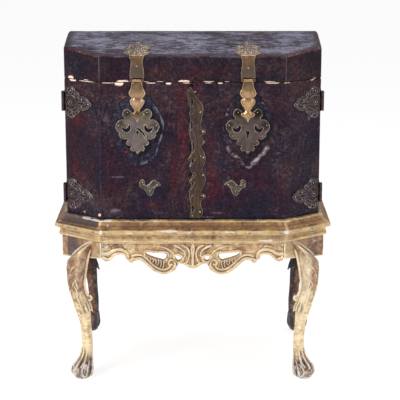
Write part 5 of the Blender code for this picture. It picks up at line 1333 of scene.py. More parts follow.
def leaf_relief(P, d):
    Q = np.column_stack([P[:, 0], np.abs(P[:, 1])])
    P3 = np.column_stack([P, np.zeros(len(P))])
    h = 0.0006 * gauss(d, 0.0020, 0.0014)
    for ln in LEAF_LINES:
        h = np.maximum(h, ridge(Q, ln, 0.0040, 0.0022, 0.0015))
    r = np.hypot(Q[:, 0] - 0.0280, Q[:, 1] - 0.0370)
    h = np.maximum(h, 0.0022 * gauss(r, 0.0100, 0.0028)) - 0.0003 * np.exp(-(r / 0.0055) ** 2)
    r = np.hypot(Q[:, 0] - 0.0575, Q[:, 1] - 0.0300)
    h = np.maximum(h, 0.0018 * np.exp(-(r / 0.0048) ** 2))
    r = np.hypot(Q[:, 0] - 0.0980, Q[:, 1] - 0.0080)
    h = np.maximum(h, 0.0018 * np.exp(-(r / 0.0050) ** 2))
    r = np.hypot(Q[:, 0] - 0.025, Q[:, 1])
    h = np.maximum(h, 0.0014 * gauss(r, 0.0085, 0.0022))
    h = h + 0.0013 * (1 - np.clip(1 - d / 0.010, 0, 1) ** 2)
    return h + 0.00080 * fbm(P3, 0.0070, 3, 23)


def side_relief(P, d):
    Q = np.column_stack([P[:, 0], np.abs(P[:, 1])])
    h = 0.0006 * gauss(d, 0.0019, 0.0010)
    h = np.maximum(h, ridge(Q, smooth(mm([(10, 18), (24, 24), (38, 18), (40, 10), (32, 8)]), 5, False), 0.0036, 0.0018, 0.0012))
    h = np.maximum(h, ridge(Q, mm([(14, 0), (60, 0)]), 0.0040, 0.0016, 0.0012))
    return h + 0.0002 * fbm(np.column_stack([P, np.zeros(len(P))]), 0.007, 2, 24)


for side, word in ((-1, "left"), (1, "right")):
    for zc, level in zip(HINGE_Z, ("upper", "lower")):
        pre = word + "_" + level + "_hinge"
        place = cant_place(side, zc)
        line = smooth(leaf_line, 5)
        line[:, 0] = np.maximum(line[:, 0], 0.0060)
        ob = relief_plate(pre + "_leaf", [line], 0.0008, 0.0013, place, M_BRONZE, leaf_relief, 0.0009, 0.0004, 0.0003, 25)
        curvature(ob, 6, 40)
        own(ob, word + "_door", "bronze", pre + "_door_leaf")
        c = np.array([side * AXIS[0], AXIS[1], zc])
        s = Soup().add(*ring(c - (0, 0, SPLIT - 0.0002), c + (0, 0, SPLIT - 0.0002), KNUCKLE_R, 0.0027))
        q = place(np.array([0.0070, 0.0070, -0.0010, -0.0010] * 2), np.array([-0.0114, 0.0114, 0.0114, -0.0114] * 2), np.repeat([0.0005, 0.0020], 4))
        f = [(3, 2, 1, 0), (4, 5, 6, 7), (0, 1, 5, 4), (1, 2, 6, 5), (2, 3, 7, 6), (3, 0, 4, 7)]
        s.add(q, f if side < 0 else [tuple(reversed(x)) for x in f])
        own(s.object(pre + "_barrel", M_BRONZE), word + "_door", "bronze")
        nails(pre + "_nails", word + "_door", "bronze",
              [(place, u / 1000, v / 1000, 0.0030, 0.0024) for u, v in ((28, 37), (28, -37), (105, 0), (76, 11), (76, -11), (25, 0), (41, 44), (41, -44))])

        splace = side_place(side, YC, zc)
        e = 31.0
        outl = mm([(6, e), (14, e), (30, e + 6), (48, e - 6), (56, 12), (66, 0), (56, -12), (48, -e + 6), (30, -e - 6), (14, -e), (6, -e)])
        outl = smooth(outl, 4)
        outl[:, 0] = np.maximum(outl[:, 0], 0.0060)
        ob = relief_plate(pre + "_flank", [outl], 0.0009, 0.0013, splace, M_BRONZE, side_relief, 0.0009, 0.0004, 0.0003, 27)
        curvature(ob, 6, 40)
        own(ob, "trunk", "bronze", pre + "_side_leaf")
        s = Soup()
        for sgn in (-1, 1):
            s.add(*ring(c + (0, 0, sgn * (SPLIT + 0.0002)), c + (0, 0, sgn * HINGE_H / 2), KNUCKLE_R, 0.0027))
            v0, v1 = sorted((sgn * (SPLIT + 0.0006), sgn * (HINGE_H / 2 - 0.0007)))
            q = splace(np.array([0.0070, 0.0070, -0.0010, -0.0010] * 2), np.array([v0, v1, v1, v0] * 2), np.repeat([0.0005, 0.0020], 4))
            s.add(q, f if side > 0 else [tuple(reversed(x)) for x in f])
        own(s.object(pre + "_flank_barrels", M_BRONZE), "trunk", "bronze")
        nails(pre + "_flank_nails", "trunk", "bronze", [(splace, u / 1000, v / 1000, 0.0022, 0.0024) for u, v in ((16, 24), (16, -24), (40, 22), (40, -22),
                                                                                                          (48, 0), (14, 0))])

# lid hinges on the back
for side, word in ((-1, "left"), (1, "right")):
    x = side * LID_HINGE_X
    place = back_place(x, Z_SEAM)
    c = np.array([x, YB + KNUCKLE_R + 0.0004, Z_SEAM])
    pre = word + "_lid_hinge"
    up = smooth(mm([(-11, 6.6), (11, 6.6), (20, 8), (26, 14), (26, 38), (15, 57), (0, 66), (-15, 57), (-26, 38), (-26, 14), (-20, 8)]), 4)
    ob = relief_plate(pre + "_upper_mount", [up], 0.0010, 0.0014, place, M_IRON, lambda P, d: 0.0005 * gauss(d, 0.0022, 0.0012), 0.0010, 0.0004, 0.0003, 31)
    curvature(ob, 6, 40)
    own(ob, "lid", "iron", pre + "_lid_leaf")
    f = [(3, 2, 1, 0), (4, 5, 6, 7), (0, 1, 5, 4), (1, 2, 6, 5), (2, 3, 7, 6), (3, 0, 4, 7)]
    s = Soup().add(*ring(c - (SPLIT - 0.0002, 0, 0), c + (SPLIT - 0.0002, 0, 0), KNUCKLE_R, 0.0027))
    q = place(np.array([-0.0110, 0.0110, 0.0110, -0.0110] * 2), np.array([0.0018, 0.0018, 0.0085, 0.0085] * 2), np.repeat([0.0005, 0.0020], 4))
    s.add(q, [tuple(reversed(k)) for k in f])
    own(s.object(pre + "_upper_barrel", M_IRON), "lid", "iron")
    nails(pre + "_upper_nails", "lid", "iron", [(place, u / 1000, v / 1000, 0.0021, 0.0027) for u, v in ((-18, 20), (18, 20), (0, 52), (-16, 38), (16, 38))], M_IRON)
    down = smooth(mm([(24, -7), (26, -12), (25, -60), (15, -98), (0, -128), (-15, -98), (-25, -60), (-26, -12), (-24, -7), (0, -7.4)]), 4)
    down[:, 1] = np.minimum(down[:, 1], -0.0068)
    ob = relief_plate(pre + "_lower_mount", [down], 0.0010, 0.0014, place, M_IRON, lambda P, d: 0.0005 * gauss(d, 0.0022, 0.0012), 0.0010, 0.0004, 0.0003, 33)
    curvature(ob, 6, 40)
    own(ob, "trunk", "iron", pre + "_body_leaf")
    s = Soup()
    for sgn in (-1, 1):
        s.add(*ring(c + (sgn * (SPLIT + 0.0002), 0, 0), c + (sgn * 0.026, 0, 0), KNUCKLE_R, 0.0020))
        u0, u1 = sorted((sgn * 0.0128, sgn * 0.0253))
        q = place(np.array([u0, u1, u1, u0] * 2), np.array([-0.0085, -0.0085, -0.0018, -0.0018] * 2), np.repeat([0.0005, 0.0020], 4))
        s.add(q, [tuple(reversed(k)) for k in f])
    s.add(*lathe([(0, 0), (0.0023, 0), (0.0023, 0.0504), (0, 0.0504)], c - (0.0252, 0, 0), (1, 0, 0), 14))
    own(s.object(pre + "_lower_barrels", M_IRON), "trunk", "iron")
    nails(pre + "_lower_nails", "trunk", "iron", [(place, u / 1000, v / 1000, 0.0021, 0.0027) for u, v in ((-16, -22), (16, -22), (-14, -60), (14, -60), (0, -108))],
          M_IRON)

# carrying handles
for side, word in ((-1, "left"), (1, "right")):
    place = side_place(side, HANDLE_Y, HANDLE_Z)
    back_line = smooth(mm([(-82, 0), (-70, 22), (-45, 24), (-22, 16), (0, 26), (22, 16), (45, 24), (70, 22), (82, 0), (70, -22), (45, -24), (22, -16), (0, -26),
                           (-22, -16), (-45, -24), (-70, -22)]), 5)
    ob = relief_plate(word + "_handle_mount", [back_line], 0.0011, 0.0014, place, M_IRON,
                      lambda P, d: 0.0006 * gauss(d, 0.0030, 0.0013) + 0.0010 * np.exp(-((np.abs(P[:, 0]) - HANDLE_HALF) / 0.012) ** 2 - (P[:, 1] / 0.012) ** 2),
                      0.0010, 0.0004, 0.0003, 37)
    curvature(ob, 6, 40)
    own(ob, "trunk", "iron", word + "_handle_plate")
    xc = side * (B + 0.0085)
    s = Soup()
    for sgn in (-1, 1):
        yc = HANDLE_Y + sgn * HANDLE_HALF
        s.add(*ring((xc, yc - 0.005, HANDLE_Z), (xc, yc + 0.005, HANDLE_Z), 0.0064, 0.0037, 24, 0.0012))
    own(s.object(word + "_handle_eyes", M_IRON), "trunk", "iron")
    bow = [(-0.0615, 0.0), (-0.0500, 0.0), (-0.0428, -0.003), (-0.0450, -0.016), (-0.0415, -0.034), (-0.0290, -0.046), (0.0, -0.0485)]
    bow = bow + [(-y, z) for y, z in reversed(bow[:-1])]
    line = smooth([(xc, HANDLE_Y + y, HANDLE_Z + z) for y, z in bow], 8, False)
    t = np.linspace(0, 1, len(line))
    rad = 0.0030 + 0.0014 * np.exp(-((t - 0.5) / 0.14) ** 2)
    s = Soup().add(*sweep(line, rad, sides=14))
    for q in (-0.012, 0.0, 0.012):
        s.add(*lathe([(0, -0.0028), (0.0038, -0.0028), (0.0054, -0.0010), (0.0056, 0.0), (0.0054, 0.0010), (0.0038, 0.0028), (0, 0.0028)],
                     (xc, HANDLE_Y + q, HANDLE_Z - 0.0482 + 0.010 * abs(q / 0.03) ** 2), (0, 1, 0), 16))
    own(s.object(word + "_handle_bow", M_IRON), word + "_handle", "iron", word + "_handle_bail")
    nails(word + "_handle_nails", "trunk", "iron", [(place, u / 1000, v / 1000, 0.0022, 0.0028) for u, v in ((-72, 0), (72, 0), (0, 18), (0, -18), (-40, 17), (40, 17),
                                                                                                        (-40, -17), (40, -17))], M_IRON)

# ---------------------------------------------------------------- stand
def offset_plan(d):
    """The trunk's plan, moved outward by d, with mitred corners."""
    out = []
    n = len(PLAN)
    for i in range(n):
        a, b, c = [np.array(PLAN[(i + k) % n], float) for k in (-1, 0, 1)]
        d1, d2 = (b - a) / np.linalg.norm(b - a), (c - b) / np.linalg.norm(c - b)
        n1, n2 = np.array([d1[1], -d1[0]]), np.array([d2[1], -d2[0]])
        m = n1 + n2
        out.append(b + m * (d / (m @ n1)))
    return np.array(out)


def moulding():
    z = Z_FRAME
    face = [(0.0100, z), (0.0125, z - 0.003), (0.0135, z - 0.010), (0.0180, z - 0.018), (0.0260, z - 0.023), (0.0300, z - 0.0255), (0.0365, z - 0.0275),
            (0.0395, z - 0.0325), (0.0385, z - 0.039), (0.0330, z - 0.0425), (0.0265, z - 0.045), (0.0225, z - 0.051), (0.0225, z - 0.0575),
            (0.0260, z - 0.060), (0.0268, z - 0.0655), (0.0235, Z_RAIL + 0.0003)]
    prof = np.concatenate([[(-0.045, Z_RAIL + 0.0003), (-0.045, z), (-0.020, z), (0.004, z)], smooth(face, 4, False), [(0.002, Z_RAIL + 0.0003), (-0.022, Z_RAIL + 0.0003)]])
    m = len(prof)
    rings = [offset_plan(d) for d, _ in prof]
    V = []
    for i in range(6):
        k = max(2, round(np.linalg.norm(np.array(PLAN[(i + 1) % 6]) - np.array(PLAN[i])) / 0.0055))
        for t in np.arange(k) / k:
            for q in range(m):
                p = rings[q][i] * (1 - t) + rings[q][(i + 1) % 6] * t
                V.append((p[0], p[1], prof[q][1]))
    V = np.array(V)
    n = len(V) // m
    out = np.tile((prof[:, 0] > 0.008).astype(float), n)
    wob = 0.00035 * fbm(V, 0.050, 2, 71) + 0.00022 * fbm(V, 0.011, 2, 72)
    dent = np.clip(fbm(V, 0.016, 2, 73) - 0.42, 0, 1) * 0.0030
    c = np.array([0.0, 0.03])
    dirs = V[:, :2] - c
    dirs /= np.linalg.norm(dirs, axis=1)[:, None]
    V[:, :2] += dirs * ((wob - dent) * out)[:, None]
    faces = []
    for i in range(n):
        j = (i + 1) % n
        for q in range(m):
            r = (q + 1) % m
            faces.append((i * m + q, i * m + r, j * m + r, j * m + q))
    left = step(-V[:, 0], 0.292, 0.318) * step(-V[:, 1], 0.14, 0.20) * step(V[:, 2], 0.522, 0.536)
    gesso = blobs(V, [(-0.079, -0.316, 0.5230, 0.028, 0.0030, 1.0), (-0.315, -0.290, 0.5490, 0.026, 0.0024, 1.0), (-0.345, -0.262, 0.5500, 0.014, 0.0024, 1.0),
                      (0.120, -0.318, 0.5200, 0.016, 0.0022, 0.7), (0.235, -0.305, 0.4880, 0.018, 0.0020, 0.7), (-0.205, -0.318, 0.5160, 0.010, 0.0020, 0.8),
                      (0.300, -0.310, 0.5200, 0.010, 0.0050, 0.8), (-0.296, -0.318, 0.5180, 0.004, 0.0100, 0.8), (-0.272, -0.293, 0.5500, 0.012, 0.0024, 0.9),
                      (0.310, -0.295, 0.5470, 0.008, 0.0030, 0.8)])
    drop = Z_FRAME - V[:, 2]
    n1 = fbm(V, 0.05, 3, 74)
    n2 = fbm(V, 0.014, 3, 76)
    tone = 0.98 * step(drop, 0.003, 0.006) * (1 - step(drop, 0.025, 0.028)) + np.clip(0.55 + 0.9 * n1 + 0.6 * n2, 0, 1) * gauss(drop, 0.0360, 0.0052) + 0.9 * gauss(drop, 0.0517, 0.0012) + 0.9 * gauss(drop, 0.0620, 0.0011)
    tone = np.clip(tone * (0.90 + 0.5 * n1 + 0.3 * n2) + 0.30 * np.clip(fbm(V, 0.08, 2, 75), 0, 1), 0, 1)
    # painted shadow of the trunk along the top edge, and painted shade in the creases between the members; the left
    # cant's dark band (left) is partly painted shade, partly a dark finish
    lines = 0.85 * gauss(drop, 0.0005, 0.0022) + 0.72 * gauss(drop, 0.0272, 0.0020) + 0.68 * gauss(drop, 0.0425, 0.0019) + 0.5 * gauss(drop, 0.0697, 0.0010)
    soot = np.maximum(0.95 * left, lines * np.clip(0.85 + 0.8 * n1 + 0.5 * n2, 0.25, 1.2))
    bright = (0.75 * gauss(drop, 0.0470, 0.0022) + 0.45 * gauss(drop, 0.0568, 0.0026) + 0.40 * gauss(drop, 0.0655, 0.0020) + 0.35 * gauss(drop, 0.0320, 0.0018)) * np.clip(0.75 + 0.9 * n1, 0, 1.2)
    ob = add_object("stand_moulding", V, faces, M_GILT_MOULD, {"soot": soot, "gesso": 1.15 * gesso, "tone": tone, "bright": bright}, 55)
    curvature(ob, 3, 24)
    return own(ob, "stand", "gilt_wood", "stand_top_frame")


moulding()

# pierced front apron
apron_half = [(0, 0), (295.5, 0), (295.5, -62), (288, -66.5), (279, -69), (270, -66), (259, -57), (250, -48.5), (235, -45), (223, -49), (218, -59), (211, -65),
              (204, -72), (196, -73), (185, -66), (170, -66), (156, -77), (134, -97), (113, -109), (91, -112), (69, -105), (56, -96), (50, -85), (44, -76), (30, -79),
              (15, -89), (0, -93)]
hole_a = [(88, -43), (112, -41), (134, -39), (150, -37), (149, -47), (126, -57), (107, -62), (94, -65), (86, -54)]
hole_b = [(37, -58), (43, -52), (51, -50), (56, -55), (51, -66), (42, -66)]
edge_line = smooth(mm(apron_half[2:]), 5, False)
apron_right = np.concatenate([mm([(0, 0), (295.5, 0)]), edge_line])
apron_line = np.concatenate([apron_right, (apron_right * np.array([-1, 1]))[::-1][1:-1]])


def rib(points, w0, w1, h0, h1=None, steps=6):
    return (smooth(mm(points), steps, False), w0 / 1000, w1 / 1000, h0 / 1000, (h1 if h1 is not None else h0) / 1000)


APRON_RIBS = [
    rib([(296, -40), (282, -42), (268, -38), (256, -31), (238, -27), (221, -32), (211, -44), (211, -55), (217, -58)], 7.0, 5.0, 5.5, 4.5),
    rib([(262, -50), (250, -42), (236, -39), (224, -43), (219, -52)], 4.5, 3.6, 4.5, 3.6),
    rib([(296, -52), (286, -57), (276, -61), (266, -57)], 6.0, 4.0, 5.0, 4.0),
    rib([(203, -68), (198, -61), (184, -57), (167, -60), (150, -74), (131, -92), (110, -105), (88, -107), (70, -99), (58, -82), (59, -67), (69, -62), (78, -69), (76, -79),
         (69, -78)], 6.2, 4.2, 6.0, 5.0),
    rib([(196, -50), (184, -46), (164, -48), (150, -58), (136, -73), (118, -88), (100, -95), (84, -93), (74, -85)], 4.6, 3.2, 4.6, 3.6),
    rib([(158, -34), (140, -35), (112, -37), (90, -38), (81, -46), (82, -58)], 3.2, 2.4, 2.6, 2.2),
    rib([(203, -68), (196, -69), (188, -64)], 4.0, 2.6, 4.0),
    rib([(112, -16), (94, -21), (76, -29), (64, -41), (60, -52)], 3.4, 2.6, 2.8, 2.4),
    rib([(58, -14), (44, -21), (31, -32), (25, -46), (30, -58), (32, -68)], 3.8, 2.8, 3.4, 3.0),
    rib([(33, -14), (18, -23), (11, -38), (13, -56), (20, -70), (30, -73)], 4.0, 3.0, 3.8, 3.2),
    rib([(0, -10), (3, -28), (0, -48), (0, -66), (0, -88)], 4.6, 5.2, 4.6, 5.4),
    rib([(0, -84), (12, -82), (24, -75), (36, -72), (44, -72)], 5.0, 3.2, 5.0, 4.0),
]
for k in range(6):
    j = (0.0, 1.6, -1.2, 2.0, 0.4, -1.4)[k]
    APRON_RIBS.append(rib([(94 + j + 9.6 * k, -65 + 2.8 * k), (94 + 8.4 * k, -78 + 3.4 * k), (98 - j + 8.2 * k, -90 + 5.0 * k)], 3.0 + 0.4 * j, 2.0, 4.6, 3.0))


SHELL_TOP = smooth(mm([(96, -69), (108, -66), (127, -61), (148, -52)]), 6, False)
STROKES = [rib(line, 2.7, 1.7, 1.0) for line in ([(232, -12), (226, -20), (219, -28)], [(54, -24), (42, -29), (29, -38)], [(60, -62), (54, -72), (51, -82)], [(292, -21), (288, -17), (282, -15)],
                                                 [(246, -11), (256, -13), (264, -19)], [(14, -16), (9, -26), (7, -40)], [(165, -52), (176, -50), (190, -54)], [(86, -40), (82, -50), (84, -60)])]


def carved(ribs, border, ground, depth=1.0, fold=True, half=None):
    def relief(P, d):
        Q = both(P) if fold else P
        h = np.full(len(P), ground)
        w = 0.0045
        bead = border * np.clip(1 - ((d - w) / w) ** 2, 0, 1) ** 0.5
        if half is not None:
            bead = bead * (1 - step(np.abs(P[:, 0]), half - 0.013, half - 0.008)) * (1 - ridge(Q, SHELL_TOP, 0.010, 0.008, 1.0, 1.0, 0.3))
        top = step(P[:, 1], -0.012, -0.006)
        h = np.maximum(h, ground + bead * (1 - top))
        h = np.maximum(h, -0.02 * (1 - top) + 0.0012 * top)
        for ln, w0, w1, h0, h1 in ribs:
            h = np.maximum(h, ground + ridge(Q, ln, w0, w1, depth * h0, depth * h1, 0.8))
        P3 = np.column_stack([P, np.zeros(len(P))])
        return h + 0.0007 * fbm(P3, 0.016, 2, 51) + 0.0004 * fbm(P3, 0.006, 2, 52)
    return relief


def stand_marks(fins, relief, ground):
    def marks(P, d):
        P3 = np.column_stack([P, np.zeros(len(P))])
        Q = both(P)
        n1 = fbm(P3, 0.030, 3, 91)
        n2 = fbm(P3, 0.011, 3, 94)
        low = 1 - step(relief(P, d) + 0.0005 * n2, ground + 0.0004, ground + 0.0016)
        out = {"gesso": 0.30 * np.clip(fbm(P3, 0.035, 2, 91), 0, 1), "soot": np.zeros(len(P)),
               "tone": np.clip((0.42 + 0.6 * n1 + 0.5 * n2) * low + 0.30 * np.clip(n1, 0, 1), 0, 0.9), "bright": np.clip(0.35 * (1 - low) * (0.6 + n1), 0, 0.6)}
        if fins:
            # painted shade over the fins under the hole, weaker on their raised ribs
            fin = np.exp(-((Q[:, 0] - 0.118) / 0.030) ** 4 - ((Q[:, 1] + 0.071 - 0.45 * (Q[:, 0] - 0.118)) / 0.0155) ** 4)
            out["soot"] = np.clip(0.80 * fin * (0.35 + 0.65 * low + 0.5 * n2), 0, 1)
            # dark strokes painted beside the ribs and along the hole's edge: painted shade for cuts that are not
            # modelled
            for line, w0, w1, _, _ in STROKES:
                out["soot"] = np.maximum(out["soot"], 1.15 * ridge(Q, line, w0, w1, 1.0, 1.0, 0.8))
            # shade under the cusps of the lower edge
            for x, z, r in ((283, -67, 8), (271, -66, 6), (222, -54, 6), (206, -70, 7), (58, -98, 8), (47, -80, 7), (82, -52, 5), (64, -58, 4)):
                out["soot"] = np.maximum(out["soot"], 0.62 * np.exp(-((Q[:, 0] - x / 1000) ** 2 + (Q[:, 1] - z / 1000) ** 2) / (r / 1000) ** 2))
            out["tone"] = np.clip(out["tone"] + 0.4 * fin + 0.30 * np.exp(-(Q[:, 0] / 0.05) ** 2 - ((P[:, 1] + 0.045) / 0.03) ** 2), 0, 1)
            out["bright"] = out["bright"] * (1 - fin)
        return out
    return marks


rail_y = YF - RAIL_OUT
front_relief = carved(APRON_RIBS, 0.0028, -0.0018, 0.72, half=0.2955)
ob = relief_plate("apron_carving", [apron_line, smooth(mm(hole_a), 5), smooth(mm(hole_a) * np.array([-1, 1]), 5), smooth(mm(hole_b), 5),
                                    smooth(mm(hole_b) * np.array([-1, 1]), 5)], 0.00125, RAIL_T,
                  lambda u, v, h: np.stack([u, rail_y + RAIL_T - h, Z_RAIL + v], 1), M_GILT, front_relief, 0.0016, 0.0, 0.0005, 43, None,
                  stand_marks(True, front_relief, -0.0018), lambda P, d: 0.0020 * np.exp(-(d / 0.002) ** 2))
curvature(ob, 5, 40)
own(ob, "stand", "gilt_wood", "front_apron")

# side rails
h = 180
side_half = [(0, 0), (h, 0), (h, -62), (h - 14, -66), (h - 30, -56), (h - 52, -46), (70, -50), (44, -64), (20, -74), (0, -76)]
SIDE_RIBS = [rib([(172, -50), (156, -46), (134, -36), (104, -34), (74, -42), (48, -54), (24, -64), (8, -66)], 6.0, 4.5, 7.0),
             rib([(172, -16), (150, -24), (128, -22), (118, -14)], 4.5, 3.0, 5.0),
             rib([(96, -34), (84, -22), (66, -18), (56, -26), (64, -33)], 4.5, 3.0, 5.0)]
for k in range(-2, 3):
    a = math.radians(90 + 24 * k)
    SIDE_RIBS.append(rib([(0, -58), (20 * math.cos(a), -58 + 20 * math.sin(a)), (40 * math.cos(a), -58 + 40 * math.sin(a))], 2.4, 6.0, 4.5, 7.0))
side_edge = smooth(mm(side_half[2:]), 5, False)
side_right = np.concatenate([mm([(0, 0), (h, 0)]), side_edge])
side_relief_h = carved(SIDE_RIBS, 0.0034, -0.0022, 0.8)
side_line = np.concatenate([side_right, (side_right * np.array([-1, 1]))[::-1][1:-1]])
for side, word in ((-1, "left"), (1, "right")):
    xf = B + RAIL_OUT
    ob = relief_plate(word + "_rail_carving", [side_line], 0.0018, RAIL_T,
                      lambda u, v, hh, side=side: np.stack([side * (xf - RAIL_T + hh), 0.010 + u, Z_RAIL + v], 1), M_GILT,
                      side_relief_h, 0.0020, 0.0, 0.0004, 45 + side, None, stand_marks(False, side_relief_h, -0.0022), lambda P, d: 0.0020 * np.exp(-(d / 0.002) ** 2))
    curvature(ob, 4, 30)
    own(ob, "stand", "gilt_wood", word + "_side_rail")

# legs: drawn once as a front right leg and once as a rear right leg, then mirrored
LEG = np.array([(0.478, -0.024, 0.036, 0.018, 2.8), (0.466, -0.020, 0.038, 0.022, 2.8), (0.455, -0.014, 0.040, 0.026, 2.8), (0.447, -0.004, 0.0415, 0.029, 2.8),
                (0.440, 0.014, 0.042, 0.031, 2.9), (0.432, 0.031, 0.041, 0.032, 3.0), (0.422, 0.041, 0.037, 0.031, 3.0), (0.406, 0.0465, 0.032, 0.029, 2.9),
                (0.388, 0.049, 0.0283, 0.0275, 2.9), (0.355, 0.0515, 0.0245, 0.0245, 2.9), (0.325, 0.0520, 0.0226, 0.0228, 2.9), (0.295, 0.044, 0.0224, 0.0228, 2.9),
                (0.265, 0.032, 0.0232, 0.0230, 2.9), (0.225, 0.0205, 0.0200, 0.0200, 2.9), (0.180, 0.0115, 0.0165, 0.0165, 2.8),
                (0.127, 0.005, 0.0165, 0.0165, 2.6), (0.085, 0.007, 0.0172, 0.0172, 2.6), (0.060, 0.015, 0.020, 0.021, 2.4), (0.040, 0.026, 0.025, 0.027, 2.4),
                (0.020, 0.031, 0.027, 0.031, 2.4), (0.006, 0.031, 0.024, 0.028, 2.4), (0.0, 0.030, 0.019, 0.022, 2.4)])
LEG_FINE = smooth(LEG, 8, False)[::-1]


def leg_at(z):
    return [np.interp(z, LEG_FINE[:, 0], LEG_FINE[:, k]) for k in range(1, 5)]


def leg_skin(z, phi, off):
    """Point on the leg at a height and an angle from its outward diagonal, as (outward, across, up)."""
    s, t, n, sq = leg_at(z)
    c, w = math.cos(math.radians(phi)), math.sin(math.radians(phi))
    a = n * math.copysign(abs(c) ** (2 / sq), c)
    b = t * math.copysign(abs(w) ** (2 / sq), w)
    return np.array([s + a + off * c, b + off * w, z - 0.75 * b * float(step(np.array([z]), 0.370, 0.432)[0])])


def loft(rings, sides):
    faces = []
    n = len(rings)
    for i in range(n - 1):
        for k in range(sides):
            j = (k + 1) % sides
            faces.append((i * sides + k, i * sides + j, (i + 1) * sides + j, (i + 1) * sides + k))
    faces.append(tuple(reversed(range(sides))))
    faces.append(tuple((n - 1) * sides + k for k in range(sides)))
    return np.concatenate(rings), faces


ROLL = smooth([(0.0240, -0.036, 0.4700), (0.0258, -0.022, 0.4630), (0.0270, -0.006, 0.4520), (0.0278, 0.010, 0.4400), (0.0275, 0.023, 0.4295), (0.0262, 0.033, 0.4205),
               (0.0235, 0.041, 0.4130)], 6, False)


